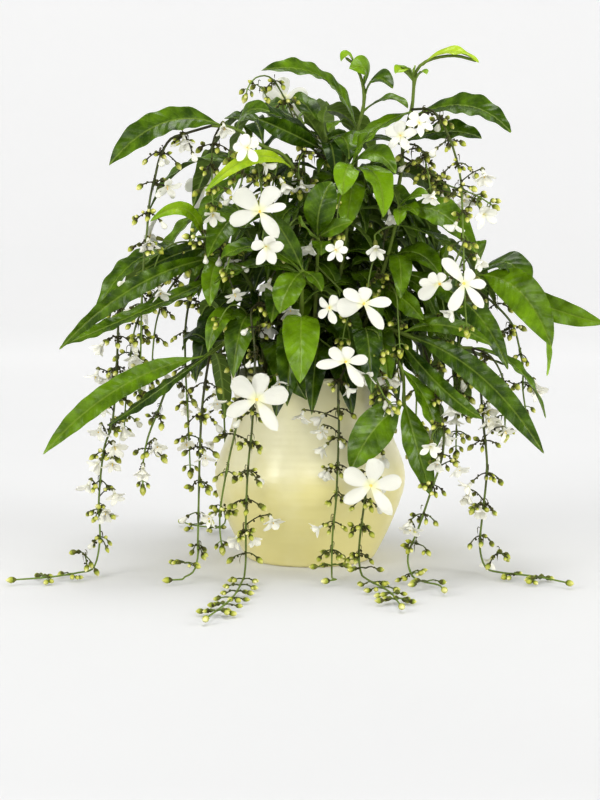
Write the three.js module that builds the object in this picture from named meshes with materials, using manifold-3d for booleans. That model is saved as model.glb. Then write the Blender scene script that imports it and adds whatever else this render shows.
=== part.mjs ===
// A potted chain of glory: an arching shrub with glossy pointed leaves and long hanging chains of
// buds, in a round-bellied glazed pot. Millimetres, +Z up, the origin at the middle of the pot's
// foot on the surface it stands on, with the viewer on the -Y side.
import * as THREE from 'three';
import { mergeVertices } from 'three/addons/utils/BufferGeometryUtils.js';
import Module from 'manifold-3d';

const wasm = await Module();
wasm.setup();

// Driving dimensions
const POT_SIDES = 28;
const POT_FOOT_RADIUS = 63.5;
const POT_RIM = [78.2, 187];
const POT_FLOOR = 9;
const POT_OUTSIDE = [
  [66.5, 4], [79, 28], [89.5, 56], [98.5, 80], [86, 114], [74.2, 146], [74.8, 167], [79.6, 184],
];
const POT_INSIDE = [[74.8, 183.5], [69, 164], [68.6, 145], [90, 84], [62, POT_FLOOR]];
const SOIL_OUTLINE = [[73.4, 130], [68.2, 146], [68.5, 162], [60, 166]];
const SOIL_FLOOR = 130;
const SOIL_CROWN = 168;
const SEAT_GAP = 0.3;
const STEM_SIDES = 4;
const STEM_FOOT = 142;
const STEM_THROAT = 198;
const STEM_RADIUS = [2.9, 1.5];
const CHAIN_RADIUS = [1.5, 0.9];
const WHORL_SPACING = 48;
const SPRAY_RADIUS = [1.2, 0.8];
const SPRAY_SPACING = 30;
const LIE_HEIGHT = 5.5;
const BUD_RADIUS = 3.1;
const ARM_LENGTH = [18, 25];
const LEAF_RIB = 1.3;
const LEAF_FOLD = 0.24;
const LEAF_WAVE = 1.6;
const PETIOLE_HALF = 1.1;
const SMALLEST_STEP = 0.2;

// The front view is a sheet held square to the viewer's line of sight at the pot's distance, so that
// a millimetre on it is a millimetre on the plant. Its zero is where the part's origin shows. A place
// is given as [right, up, y]: where it shows on the sheet, then its real depth.
const EYE = new THREE.Vector3(-10, -1880, 359);
const SIGHT_PITCH = THREE.MathUtils.degToRad(6.1);
const SHEET_DISTANCE = 1889;
const SIGHT = new THREE.Vector3(0, Math.cos(SIGHT_PITCH), -Math.sin(SIGHT_PITCH));
const SHEET_UP = new THREE.Vector3(0, Math.sin(SIGHT_PITCH), Math.cos(SIGHT_PITCH));
const UP = new THREE.Vector3(0, 0, 1);
const RIGHT = new THREE.Vector3(1, 0, 0);
const VIEWER_SIDE = new THREE.Vector3(0, -1, 0);

function sheetPlace(point) {
  const ray = point.clone().sub(EYE);
  const scale = SHEET_DISTANCE / ray.dot(SIGHT);
  return [ray.x * scale, ray.dot(SHEET_UP) * scale];
}

const SHEET_ZERO = sheetPlace(new THREE.Vector3(0, 0, 0));

function seen([right, up, depth]) {
  const ray = SIGHT.clone().multiplyScalar(SHEET_DISTANCE);
  ray.addScaledVector(RIGHT, right + SHEET_ZERO[0]);
  ray.addScaledVector(SHEET_UP, up + SHEET_ZERO[1]);
  return EYE.clone().addScaledVector(ray, (depth - EYE.y) / ray.y);
}

// A seeded draw, the same on every build
function randomiser(seed) {
  let state = seed >>> 0;
  return () => {
    state = (state + 0x6d2b79f5) >>> 0;
    let t = state;
    t = Math.imul(t ^ (t >>> 15), t | 1);
    t ^= t + Math.imul(t ^ (t >>> 7), t | 61);
    return ((t ^ (t >>> 14)) >>> 0) / 4294967296;
  };
}

function mix(low, high, share) {
  return low + (high - low) * share;
}

// Solids
function solidOf(geometry) {
  const bare = geometry.clone();
  bare.deleteAttribute('normal');
  bare.deleteAttribute('uv');
  const merged = mergeVertices(bare, 1e-4);
  const shape = new wasm.Mesh({
    numProp: 3,
    vertProperties: merged.attributes.position.array,
    triVerts: Uint32Array.from(merged.index.array),
  });
  return new wasm.Manifold(shape);
}

function geometryOf(solid) {
  const mesh = solid.getMesh();
  const geometry = new THREE.BufferGeometry();
  geometry.setAttribute('position', new THREE.BufferAttribute(Float32Array.from(mesh.vertProperties), 3));
  geometry.setIndex(new THREE.BufferAttribute(Uint32Array.from(mesh.triVerts), 1));
  geometry.computeVertexNormals();
  return geometry;
}

// A closed skin over a row of rings. A ring of one point closes to a tip, and a ring may have several
// times the corners of the next. With alike set, both faces of a blade are split along the same lines.
function loft(rings, alike = false) {
  const corners = [];
  const starts = [];
  for (const ring of rings) {
    starts.push(corners.length / 3);
    ring.forEach((point) => corners.push(point.x, point.y, point.z));
  }
  const faces = [];
  for (let i = 0; i + 1 < rings.length; i += 1) {
    const sides = Math.max(rings[i].length, rings[i + 1].length);
    const corner = (row, step) => starts[row] + Math.floor(((step % sides) * rings[row].length) / sides);
    for (let j = 0; j < sides; j += 1) {
      const near = corner(i, j);
      const nearNext = corner(i, j + 1);
      const far = corner(i + 1, j);
      const farNext = corner(i + 1, j + 1);
      const turned = alike && j % 2 === 1;
      const pair = turned
        ? [[near, nearNext, far], [nearNext, farNext, far]]
        : [[near, nearNext, farNext], [near, farNext, far]];
      faces.push(...pair);
    }
  }
  const first = rings[0].length;
  const last = rings[rings.length - 1].length;
  for (let j = 1; j + 1 < first; j += 1) faces.push([0, j + 1, j]);
  const end = starts[starts.length - 1];
  for (let j = 1; j + 1 < last; j += 1) faces.push([end, end + j, end + j + 1]);
  const kept = faces.filter(([a, b, c]) => a !== b && b !== c && a !== c);
  const geometry = new THREE.BufferGeometry();
  geometry.setAttribute('position', new THREE.BufferAttribute(Float32Array.from(corners), 3));
  geometry.setIndex(kept.flat());
  const solid = solidOf(geometry);
  if (solid.volume() > 0) return solid;
  geometry.setIndex(kept.map(([a, b, c]) => [a, c, b]).flat());
  return solidOf(geometry);
}

// A round bar through points, with its own radius at each, which an extrusion along a path can't have.
// A radius of 0 closes it to a tip. Padding makes it fatter and a little longer.
function bar(points, radii, sides, pad = 0) {
  let side = new THREE.Vector3(0.31, 0.82, 0.48);
  const rings = points.map((point, i) => {
    const before = points[Math.max(i - 1, 0)];
    const after = points[Math.min(i + 1, points.length - 1)];
    const along = after.clone().sub(before).normalize();
    side = side.clone().addScaledVector(along, -side.dot(along)).normalize();
    const other = along.clone().cross(side);
    const centre = point.clone();
    if (i === 0) centre.addScaledVector(along, -pad);
    if (i === points.length - 1) centre.addScaledVector(along, pad);
    if (radii[i] === 0) return [centre];
    const angles = Array.from({ length: sides }, (_, k) => (2 * Math.PI * k) / sides);
    return angles.map((angle) => {
      const corner = centre.clone().addScaledVector(side, (radii[i] + pad) * Math.cos(angle));
      return corner.addScaledVector(other, (radii[i] + pad) * Math.sin(angle));
    });
  });
  return loft(rings);
}

function taper([first, last], count) {
  return Array.from({ length: count }, (_, i) => mix(first, last, i / (count - 1)));
}

function lathe(outline) {
  const points = outline.map(([radius, height]) => new THREE.Vector2(radius, height));
  const geometry = new THREE.LatheGeometry(points, POT_SIDES);
  geometry.rotateX(Math.PI / 2);
  const solid = solidOf(geometry);
  if (solid.volume() > 0) return solid;
  const turned = solid.getMesh();
  for (let i = 0; i < turned.triVerts.length; i += 3) {
    [turned.triVerts[i + 1], turned.triVerts[i + 2]] = [turned.triVerts[i + 2], turned.triVerts[i + 1]];
  }
  return new wasm.Manifold(turned);
}

// Leaves: a petiole, then a pointed blade folded a little along its rib, with waved edges. The rib
// bends from its base over a crown to its tip, and roll turns the upper face towards the viewer.
const LEAF_STATIONS = [
  { along: 0, half: 0, wave: 0 },
  { along: 0.24, half: 0.66, wave: 1 },
  { along: 0.52, half: 1, wave: -1 },
  { along: 0.8, half: 0.62, wave: 1 },
];
// How far a leaf may be bent out of the way of another stem: towards the viewer, and up at its tip
const LEAF_BENDS = [
  [0, 0], [8, 0], [-8, 0], [0, 8], [0, -8], [16, 0], [-16, 0], [10, 10], [-10, 10], [10, -10], [-10, -10],
  [24, 0], [-24, 0], [0, 18], [0, -18], [24, 14], [-24, 14], [24, -14], [-24, -14], [36, 0], [-36, 0],
];

function bent(point, share, [nearer, higher]) {
  const sight = EYE.clone().sub(point).normalize();
  const moved = point.clone().addScaledVector(sight, nearer * share);
  return moved.addScaledVector(UP, higher * share);
}

function leafSolid(leaf, bend, pad = 0) {
  const over = bent(leaf.over, 0.55, bend);
  const to = bent(leaf.to, 1, bend);
  const handle = over.clone().multiplyScalar(2).addScaledVector(leaf.base, -0.5).addScaledVector(to, -0.5);
  const rib = new THREE.QuadraticBezierCurve3(leaf.base, handle, to);
  const plane = rib.getTangent(0).cross(rib.getTangent(1));
  if (plane.length() < 1e-3) plane.copy(rib.getTangent(0)).cross(UP);
  plane.normalize();
  if (plane.dot(VIEWER_SIDE) < 0) plane.negate();
  const sag = leaf.base.clone().add(to).multiplyScalar(0.5).sub(over);
  const roll = THREE.MathUtils.degToRad(leaf.roll);
  const rings = LEAF_STATIONS.map(({ along, half, wave }) => {
    const point = rib.getPoint(along);
    const ahead = rib.getTangent(along);
    const crown = plane.clone().cross(ahead);
    if (crown.dot(sag) > 0) crown.negate();
    const face = crown.multiplyScalar(Math.cos(roll)).addScaledVector(plane, Math.sin(roll));
    const side = ahead.clone().cross(face).normalize();
    const reach = Math.max((half * leaf.width) / 2, PETIOLE_HALF) + pad;
    const lift = half * leaf.width * 0.5 * LEAF_FOLD;
    const ripple = half > 0 ? wave * LEAF_WAVE : 0;
    return [
      point.clone().addScaledVector(side, reach).addScaledVector(face, lift + ripple),
      point.clone().addScaledVector(face, 0.2 + pad),
      point.clone().addScaledVector(side, -reach).addScaledVector(face, lift - ripple),
      point.clone().addScaledVector(face, 0.2 - LEAF_RIB - pad),
    ];
  });
  rings.push([to]);
  return loft(rings, true);
}

// Buds: a pair of thin arms crosses the chain and droops to a pointed bud on each side. Where the chain
// lies on the surface they lie flat beside it.
const ARM_RADIUS = 0.85;
const HANGING_ARM = [[0.5, 0], [0.75, 0.13], [0.87, 0.38]];
const LYING_ARM = [[0.5, 0], [0.76, 0], [1, 0]];

function budPair(centre, out, reach, lying, pad = 0) {
  const shape = lying ? LYING_ARM : HANGING_ARM;
  const place = (side, [away, drop]) =>
    centre.clone().addScaledVector(out, side * away * reach).addScaledVector(UP, -drop * reach);
  const [neck, bud, tip] = shape;
  const left = [tip, bud, neck].map((spot) => place(-1, spot));
  const right = [neck, bud, tip].map((spot) => place(1, spot));
  const radii = [0, BUD_RADIUS, ARM_RADIUS, ARM_RADIUS, BUD_RADIUS, 0];
  return bar([...left, ...right], radii, 3, pad);
}

// Blooms: five broad petals round a small eye, on a short tube
const PETAL_OUTLINE = [[-36, 0.24], [-23, 0.86], [0, 1], [23, 0.86]];
const BLOOM_TUBE = 0.3;
const STALK_RADIUS = [0.9, 0.8];

function bloomSolid(bloom, pad = 0) {
  const face = bloom.face;
  const side = new THREE.Vector3().crossVectors(face, UP).normalize();
  const other = side.clone().cross(face);
  const radius = bloom.size / 2 + pad;
  const rim = [];
  for (let petal = 0; petal < 5; petal += 1) {
    for (const [turn, reach] of PETAL_OUTLINE) {
      const angle = THREE.MathUtils.degToRad(bloom.spin + 72 * petal + turn);
      const corner = bloom.centre.clone().addScaledVector(side, radius * reach * Math.cos(angle));
      corner.addScaledVector(other, radius * reach * Math.sin(angle));
      rim.push(corner.addScaledVector(face, -radius * 0.16 * reach * reach));
    }
  }
  const round = (away, width) =>
    [0, 1, 2, 3, 4].map((petal) => {
      const angle = THREE.MathUtils.degToRad(bloom.spin + 72 * petal);
      const corner = bloom.centre.clone().addScaledVector(side, (width + pad) * Math.cos(angle));
      return corner.addScaledVector(other, (width + pad) * Math.sin(angle)).addScaledVector(face, away);
    });
  const eye = bloom.centre.clone().addScaledVector(face, 0.6 + pad);
  return loft([[eye], rim, round(-2.2 - pad, 1.8), round(-bloom.size * BLOOM_TUBE - pad, 1.2)]);
}

// Stems. Each starts upright in the soil at its root and passes the pot's throat, then follows its
// path. Its leaves are given as they show: where each leaves the stem, its crown and its tip.
function leaf(from, over, to, width, roll) {
  return { from, over: seen(over), to: seen(to), width, roll };
}

const STEMS = [
  {
    name: 'crown', root: [12, 8],
    path: [
      [25, 256, 5], [38, 336, 0], [45, 376, -5], [47, 421, -8], [53, 446, -8],
      [54, 466, -8], [47, 488, -10], [37, 497, -12],
    ],
    leaves: [
      leaf([47, 423], [14, 477, -20], [-49, 485, -45], 27, 40),
      leaf([47, 422], [31, 434, -14], [18, 424, -34], 15, 30),
      leaf([55, 444], [78, 457, -14], [98, 447, -28], 18, 40),
      leaf([54, 460], [66, 477, -14], [83, 467, -30], 24, 40),
      leaf([53, 468], [55, 487, -14], [39, 487, -24], 24, 50),
      leaf([46, 489], [38, 502, -12], [31, 494, -16], 10, 40),
    ],
  },
  {
    name: 'centre_left', root: [-8, 4],
    path: [[2, 250, 2], [12, 316, -5], [15, 371, -12], [15, 401, -14], [16, 418, -15]],
    leaves: [
      leaf([16, 418], [13, 436, -20], [17, 449, -32], 15, 20),
      leaf([15, 412], [2, 432, -30], [-8, 444, -44], 22, 40),
      leaf([13, 408], [-20, 434, -35], [-56, 445, -60], 27, 45),
      leaf([12, 405], [-22, 424, -52], [-52, 437, -78], 20, 50),
      leaf([11, 398], [-40, 430, -14], [-86, 437, -26], 24, 50),
      leaf([18, 412], [33, 418, -30], [39, 396, -52], 30, 40),
      leaf([15, 414], [-6, 452, 12], [-24, 446, 24], 24, 40),
    ],
  },
  {
    name: 'left_arch', root: [-25, -12],
    path: [
      [-12, 260, -18], [4, 330, -38], [-20, 393, -60], [-48, 410, -75], [-75, 427, -85],
      [-98, 430, -92],
    ],
    leaves: [
      leaf([-85, 432], [-145, 433, -110], [-201, 390, -130], 28, 55),
      leaf([-74, 426], [-62, 444, -96], [-40, 444, -112], 22, 40),
    ],
  },
  {
    name: 'top_right', root: [19, 15],
    path: [
      [52, 262, 6], [77, 325, -2], [90, 376, -10], [94, 416, -14], [102, 448, -16],
      [104, 470, -18], [107, 486, -20], [120, 496, -22], [144, 500, -26], [166, 495, -30],
    ],
    leaves: [
      leaf([99, 436], [155, 450, -40], [201, 423, -66], 28, 50),
      leaf([95, 414], [135, 424, -34], [172, 417, -54], 26, 50),
      leaf([101, 444], [68, 428, -30], [42, 404, -46], 24, 45),
      leaf([105, 478], [95, 487, -25], [85, 482, -34], 15, 40),
      leaf([105, 476], [112, 484, -24], [117, 481, -32], 10, 40),
    ],
  },
  {
    name: 'front_apex', root: [2, -20],
    path: [[5, 240, -40], [7, 285, -68], [8, 318, -95]],
    leaves: [
      leaf([8, 318], [10, 348, -118], [22, 374, -108], 42, 15),
      leaf([8, 318], [25, 328, -110], [43, 334, -120], 17, 30),
      leaf([8, 316], [-5, 330, -110], [-9, 340, -122], 16, 30),
      leaf([8, 314], [11, 312, -114], [11, 300, -128], 20, 10),
    ],
  },
  {
    name: 'front_star', root: [14, -8],
    path: [[28, 265, -28], [38, 335, -48], [42, 391, -62]],
    leaves: [
      leaf([42, 391], [50, 408, -76], [63, 422, -92], 22, 35),
      leaf([42, 390], [36, 384, -86], [32, 360, -98], 24, 20),
      leaf([42, 391], [64, 402, -76], [86, 382, -92], 24, 40),
      leaf([42, 386], [66, 380, -82], [73, 338, -104], 28, 30),
      leaf([41, 374], [41, 362, -76], [35, 326, -92], 26, 15),
    ],
  },
  {
    name: 'right_star', root: [30, -14],
    path: [[58, 240, -34], [78, 300, -55], [90, 350, -66]],
    leaves: [
      leaf([90, 350], [104, 360, -76], [119, 358, -88], 17, 40),
      leaf([90, 350], [84, 364, -74], [76, 374, -84], 17, 30),
      leaf([90, 348], [100, 348, -80], [108, 340, -92], 15, 35),
      leaf([90, 346], [90, 343, -84], [88, 330, -94], 13, 10),
      leaf([87, 340], [128, 344, -84], [166, 303, -104], 30, 50),
      leaf([85, 332], [122, 320, -66], [160, 293, -84], 27, 50),
    ],
  },
  {
    name: 'right_mid', root: [24, -2],
    path: [[48, 235, -14], [72, 272, -32], [84, 302, -42]],
    leaves: [
      leaf([84, 301], [90, 292, -66], [90, 257, -80], 22, 5),
      leaf([83, 298], [108, 302, -50], [131, 279, -64], 26, 50),
      leaf([78, 284], [152, 256, -80], [198, 186, -98], 24, 50),
      leaf([70, 270], [92, 258, -72], [114, 236, -88], 22, 40),
      leaf([76, 280], [110, 268, -52], [129, 229, -62], 16, 40),
    ],
  },
  {
    name: 'right_low', root: [36, -20],
    path: [[64, 224, -52], [88, 224, -66], [112, 214, -76], [140, 208, -82], [162, 208, -86]],
    leaves: [
      leaf([92, 224], [136, 230, -92], [182, 210, -108], 20, 50),
      leaf([96, 222], [170, 180, -116], [234, 102, -136], 30, 50),
      leaf([150, 208], [204, 190, -92], [236, 137, -118], 22, 50),
      leaf([84, 224], [130, 170, -98], [173, 137, -114], 21, 45),
      leaf([82, 224], [134, 212, -66], [196, 190, -76], 24, 50),
    ],
  },
  {
    name: 'right_far', root: [43, -6],
    path: [[62, 238, 0], [95, 274, -8], [130, 281, -14], [172, 280, -22]],
    leaves: [
      leaf([166, 280], [199, 292, -30], [216, 262, -48], 34, 45),
      leaf([169, 280], [210, 264, -62], [242, 209, -88], 36, 50),
      leaf([172, 280], [230, 252, -34], [295, 232, -42], 25, 60),
      leaf([160, 281], [224, 246, -40], [237, 179, -72], 13, 50),
    ],
  },
  {
    name: 'left_mid', root: [-36, -4],
    path: [[-48, 238, -14], [-62, 276, -28], [-84, 300, -40], [-105, 308, -48]],
    leaves: [
      leaf([-97, 306], [-126, 304, -56], [-174, 282, -70], 23, 50),
      leaf([-92, 303], [-124, 292, -36], [-163, 279, -44], 16, 50),
      leaf([-84, 300], [-170, 272, -120], [-251, 206, -142], 27, 50),
      leaf([-72, 288], [-168, 244, -112], [-248, 210, -122], 25, 50),
      leaf([-86, 300], [-97, 284, -78], [-100, 249, -92], 28, 15),
      leaf([-90, 302], [-108, 297, -62], [-115, 280, -70], 20, 35),
    ],
  },
  {
    name: 'left_low', root: [-34, -22],
    path: [[-50, 226, -50], [-72, 222, -68], [-94, 206, -82], [-110, 196, -90]],
    leaves: [
      leaf([-60, 226], [-86, 240, -88], [-102, 203, -104], 25, 35),
      leaf([-98, 204], [-124, 212, -98], [-144, 186, -108], 18, 45),
      leaf([-104, 200], [-190, 168, -126], [-267, 101, -152], 28, 50),
      leaf([-86, 212], [-154, 164, -138], [-202, 130, -148], 18, 50),
    ],
  },
  {
    name: 'centre_low', root: [-6, -34],
    path: [[-9, 226, -62], [-8, 258, -86], [-7, 285, -100]],
    leaves: [
      leaf([-7, 285], [-22, 316, -108], [-41, 343, -104], 18, 35),
      leaf([-7, 284], [-20, 270, -122], [-30, 242, -134], 28, 15),
      leaf([-7, 283], [-50, 308, -96], [-90, 296, -104], 26, 45),
      leaf([-7, 281], [-52, 290, -92], [-96, 272, -98], 26, 45),
      leaf([-7, 284], [4, 278, -112], [12, 264, -122], 14, 30),
      leaf([-9, 240], [-9, 226, -112], [-10, 172, -128], 35, 2),
      leaf([-10, 232], [-20, 200, -98], [-3, 156, -110], 27, 10),
    ],
  },
  {
    name: 'front_right_low', root: [22, -34],
    path: [[50, 214, -68], [74, 208, -88], [92, 186, -102], [94, 150, -108]],
    leaves: [
      leaf([90, 190], [117, 152, -112], [125, 106, -118], 29, 20),
      leaf([94, 156], [106, 112, -122], [121, 60, -126], 26, 20),
      leaf([94, 152], [64, 126, -134], [41, 86, -142], 36, 40),
    ],
  },
];

// Stems of the far side, as [azimuth, reach, height, leaf pairs]. Azimuth 0 is to the right and 90 is
// straight behind. Their leaves are placed by a rule: pairs that fan out and droop towards the tip.
const FAR_STEMS = [
  [24, 84, 300, 2],
  [50, 62, 374, 3],
  [75, 106, 322, 3],
  [100, 50, 438, 3],
  [124, 108, 330, 3],
  [146, 58, 386, 3],
  [168, 86, 292, 2],
];
const FAR_STEM_STEPS = 9;
const FAR_ROOT_RADIUS = 34;
const FAR_LEAF_LENGTH = [104, 138];
const FAR_LEAF_WIDTH = [26, 34];

// Flower chains, as [name, stem it grows from, where it leaves the stem as it shows, length that lies on
// the surface, azimuth it lies towards, path]
const CHAINS = [
  ['left_outer', 'left_arch', [-98, 430], 0, 0, [
    [-125, 422, -98], [-140, 416, -100], [-150, 398, -101], [-155, 378, -102], [-160, 356, -103],
    [-163, 324, -103], [-166, 294, -102], [-168, 256, -100], [-169, 216, -98], [-170, 160, -96],
  ]],
  ['left_long', 'left_mid', [-105, 308], 88, 214, [
    [-140, 296, -60], [-176, 272, -84], [-190, 246, -90], [-192, 216, -92], [-194, 171, -94],
    [-198, 131, -96], [-206, 106, -98], [-211, 56, -100], [-210, 16, -100],
  ]],
  ['left_inner', 'left_low', [-106, 198], 0, 0, [
    [-126, 186, -96], [-141, 171, -98], [-152, 144, -100], [-162, 118, -101], [-167, 91, -102],
    [-167, 69, -102],
  ]],
  ['front_left', 'left_low', [-100, 202], 40, 238, [
    [-104, 178, -96], [-108, 146, -108], [-110, 106, -113], [-111, 64, -115], [-112, 16, -116],
    [-112, 0, -116],
  ]],
  ['front_left_short', 'left_low', [-70, 222], 0, 0, [
    [-64, 182, -94], [-72, 136, -112], [-81, 96, -116], [-89, 51, -118], [-90, 26, -118],
    [-88, 9, -118],
  ]],
  ['front_long', 'centre_low', [-9, 226], 186, 262, [
    [-38, 250, -84], [-58, 246, -94], [-55, 206, -108], [-56, 166, -116], [-58, 126, -120],
    [-62, 86, -122], [-64, 36, -124], [-64, 0, -125],
  ]],
  ['front_mid', 'front_right_low', [50, 214], 34, 268, [
    [40, 196, -88], [29, 171, -102], [29, 131, -112], [28, 96, -116], [26, 54, -118],
    [23, 26, -118], [22, 4, -118],
  ]],
  ['front_right', 'front_right_low', [70, 210], 142, 284, [
    [76, 186, -98], [74, 150, -116], [62, 104, -120], [55, 56, -121], [51, 26, -122],
    [49, 2, -122],
  ]],
  ['right_low', 'right_low', [112, 214], 62, 300, [
    [121, 184, -94], [131, 144, -112], [134, 119, -122], [131, 94, -132], [121, 64, -138],
    [108, 26, -138], [98, 0, -136],
  ]],
  ['right_long', 'right_low', [162, 208], 96, 322, [
    [169, 191, -88], [171, 166, -92], [173, 136, -95], [177, 96, -98], [176, 71, -99],
    [172, 36, -100], [170, 8, -100],
  ]],
  ['right_upper', 'top_right', [102, 446], 0, 0, [
    [120, 446, -46], [131, 435, -62], [142, 411, -80], [150, 381, -98], [152, 356, -116],
    [153, 326, -126], [154, 294, -128], [155, 256, -128], [157, 226, -126],
  ]],
  ['right_short', 'right_far', [146, 281], 0, 0, [
    [160, 270, -34], [182, 254, -44], [202, 232, -46], [209, 210, -46], [213, 188, -46],
    [213, 166, -46], [216, 144, -46],
  ]],
];

// Inner leaves, which hang round the foot of each near stem and hide it. Their tips fan out to the
// front, at these shares of the stem.
const INNER_TRIES = 8;
const INNER_POINTS = 12;
const INNER_SHARES = [0.37, 0.5];
const FAR_INNER_SHARES = [0.42];
const INNER_LENGTH = [74, 108];
const INNER_WIDTH = [24, 32];

// Small sprays that stay one with their stem, in the same form
const SPRAYS = [
  ['left_short', 'left_arch', [-90, 429], [
    [-96, 417, -90], [-98, 400, -94], [-98, 381, -96], [-97, 349, -97],
  ]],
  ['left_short_inner', 'left_arch', [-64, 420], [
    [-65, 408, -92], [-65, 396, -94], [-68, 375, -95], [-74, 355, -95], [-68, 340, -95],
  ]],
  ['right_reach', 'top_right', [92, 400], [
    [102, 394, -26], [115, 386, -40], [137, 371, -58], [165, 361, -72], [183, 350, -84],
  ]],
  ['right_inner', 'right_low', [140, 208], [
    [146, 196, -94], [147, 176, -80], [147, 150, -80], [146, 104, -82],
  ]],
  ['centre_buds', 'front_right_low', [60, 212], [
    [62, 196, -106], [66, 178, -120], [74, 160, -130], [84, 148, -134],
  ]],
  ['top_left', 'centre_left', [14, 404], [
    [-10, 424, -4], [-23, 453, -8], [-38, 477, -16], [-52, 479, -24], [-61, 470, -30], [-64, 461, -31],
  ]],
  ['left_drop', 'left_arch', [-38, 404], [[-43, 394, -80], [-47, 378, -84], [-49, 357, -85]]],
  ['centre_drop', 'centre_left', [15, 400], [[-4, 404, -46], [-11, 391, -58], [-10, 364, -62]]],
  ['right_drop', 'top_right', [94, 412], [[110, 408, -34], [117, 388, -54], [121, 362, -62]]],
  ['left_reach', 'left_mid', [-84, 300], [[-86, 310, -66], [-100, 318, -86], [-120, 319, -98]]],
];

// Chains of the far side, as [far stem, hanging part's foot height, length that lies on the surface]
const FAR_HANG_RADIUS = 122;
const FAR_CHAINS = [
  [0, 92, 0],
  [1, 40, 0],
  [2, 26, 104],
  [4, 26, 70],
  [6, 84, 0],
];

// Blooms, as [stem or chain that carries it, where its stalk leaves that as it shows, place, size,
// yaw to the right and pitch upwards of its face, spin]
const BLOOMS = [
  ['chain front_long', [-56, 176], [-53, 156, -142], 60, -8, 8, 12],
  ['chain front_right', [64, 110], [61, 70, -148], 58, 6, 4, 30],
  ['stem left_arch', [-56, 414], [-50, 344, -128], 58, -10, 22, 50],
  ['stem left_arch', [-30, 400], [-44, 316, -140], 36, 12, -24, 20],
  ['stem front_apex', [7, 290], [54, 252, -150], 50, 10, 10, 8],
  ['stem centre_low', [-9, 230], [36, 194, -152], 46, -6, 2, 66],
  ['chain right_upper', [154, 300], [154, 272, -156], 54, 14, 8, 40],
  ['chain right_upper', [154, 312], [128, 271, -150], 42, -20, -6, 10],
  ['stem right_star', [84, 330], [66, 308, -112], 25, 6, -50, 0],
  ['stem front_apex', [8, 310], [26, 306, -134], 24, 14, -20, 24],
  ['stem front_apex', [6, 264], [20, 248, -136], 30, -30, -6, 40],
  ['stem top_right', [94, 410], [91, 420, -66], 32, -12, 10, 20],
  ['stem top_right', [100, 440], [107, 430, -62], 28, 16, 20, 60],
  ['chain right_low', [132, 130], [121, 110, -146], 24, -8, -30, 36],
  ['chain left_short_inner', [-66, 404], [-62, 408, -116], 30, -14, 6, 10],
  ['chain right_reach', [170, 358], [174, 342, -104], 28, 20, -30, 0],
];
// Blooms of the far side, as [far stem, share of the stem, out from it, above it, size]
const FAR_BLOOMS = [
  [2, 0.82, 46, 14, 54],
  [3, 0.9, 40, 16, 52],
  [4, 0.84, 52, 20, 50],
  [6, 0.86, 40, 8, 42],
];

// Curves
function curveOf(points) {
  return new THREE.CatmullRomCurve3(points, false, 'catmullrom', 0.5);
}

function around(azimuth, radius, height) {
  const angle = THREE.MathUtils.degToRad(azimuth);
  return new THREE.Vector3(radius * Math.cos(angle), radius * Math.sin(angle), height);
}

function stemPoints(x, y, path) {
  const foot = new THREE.Vector3(x, y, STEM_FOOT);
  const mouth = new THREE.Vector3(x, y, SOIL_CROWN + 4);
  const throat = new THREE.Vector3(x * 1.3, y * 1.3, STEM_THROAT);
  return [foot, mouth, throat, ...path];
}

// The place at a share of a row of points, and the place on it that shows nearest to a spot on the
// front view
function placeOn(points, share) {
  const step = Math.min(share * (points.length - 1), points.length - 1.0001);
  const before = Math.floor(step);
  return points[before].clone().lerp(points[before + 1], step - before);
}

function shownOn(points, [right, up]) {
  const steps = 400;
  let best = { place: points[0], distance: Infinity };
  for (let i = 0; i <= steps; i += 1) {
    const place = placeOn(points, i / steps);
    const shown = sheetPlace(place);
    const distance = Math.hypot(shown[0] - SHEET_ZERO[0] - right, shown[1] - SHEET_ZERO[1] - up);
    if (distance < best.distance) best = { place, distance };
  }
  return best.place;
}

// Nodes under construction. Each holds the solids that are fused into it.
const nodes = [];

function addNode(name, colour, roughness, solids) {
  const node = { name, colour, roughness, solids };
  nodes.push(node);
  return node;
}

function clearOf(solid, skipped) {
  const box = solid.boundingBox();
  for (const node of nodes) {
    if (skipped.includes(node)) continue;
    for (const other of node.solids) {
      const near = other.boundingBox();
      const apart = [0, 1, 2].some((k) => near.min[k] > box.max[k] || near.max[k] < box.min[k]);
      if (!apart && solid.intersect(other).volume() > 1e-4) return false;
    }
  }
  return true;
}

function placeLeaf(node, blade) {
  const bend = LEAF_BENDS.find((choice) => clearOf(leafSolid(blade, choice, SEAT_GAP), [node]));
  if (bend) node.solids.push(leafSolid(blade, bend));
  return bend !== undefined;
}

// The pot and its soil
const LEAF_GREEN = '#2f5a1a';
const CHAIN_GREEN = '#6d7a2c';
const PETAL_WHITE = '#f4f3ea';

function smooth(points, steps) {
  const line = new THREE.SplineCurve(points.map(([radius, height]) => new THREE.Vector2(radius, height)));
  return line.getPoints(steps).map((point) => [point.x, point.y]);
}

const potSolid = lathe([
  [0, 0],
  [POT_FOOT_RADIUS, 0],
  ...smooth(POT_OUTSIDE, 11),
  POT_RIM,
  ...POT_INSIDE,
  [0, POT_FLOOR],
]);
const pot = addNode('pot', '#e2dba8', 0.18, [potSolid]);
const soil = addNode('soil', '#3a2c20', 0.95, []);

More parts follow.
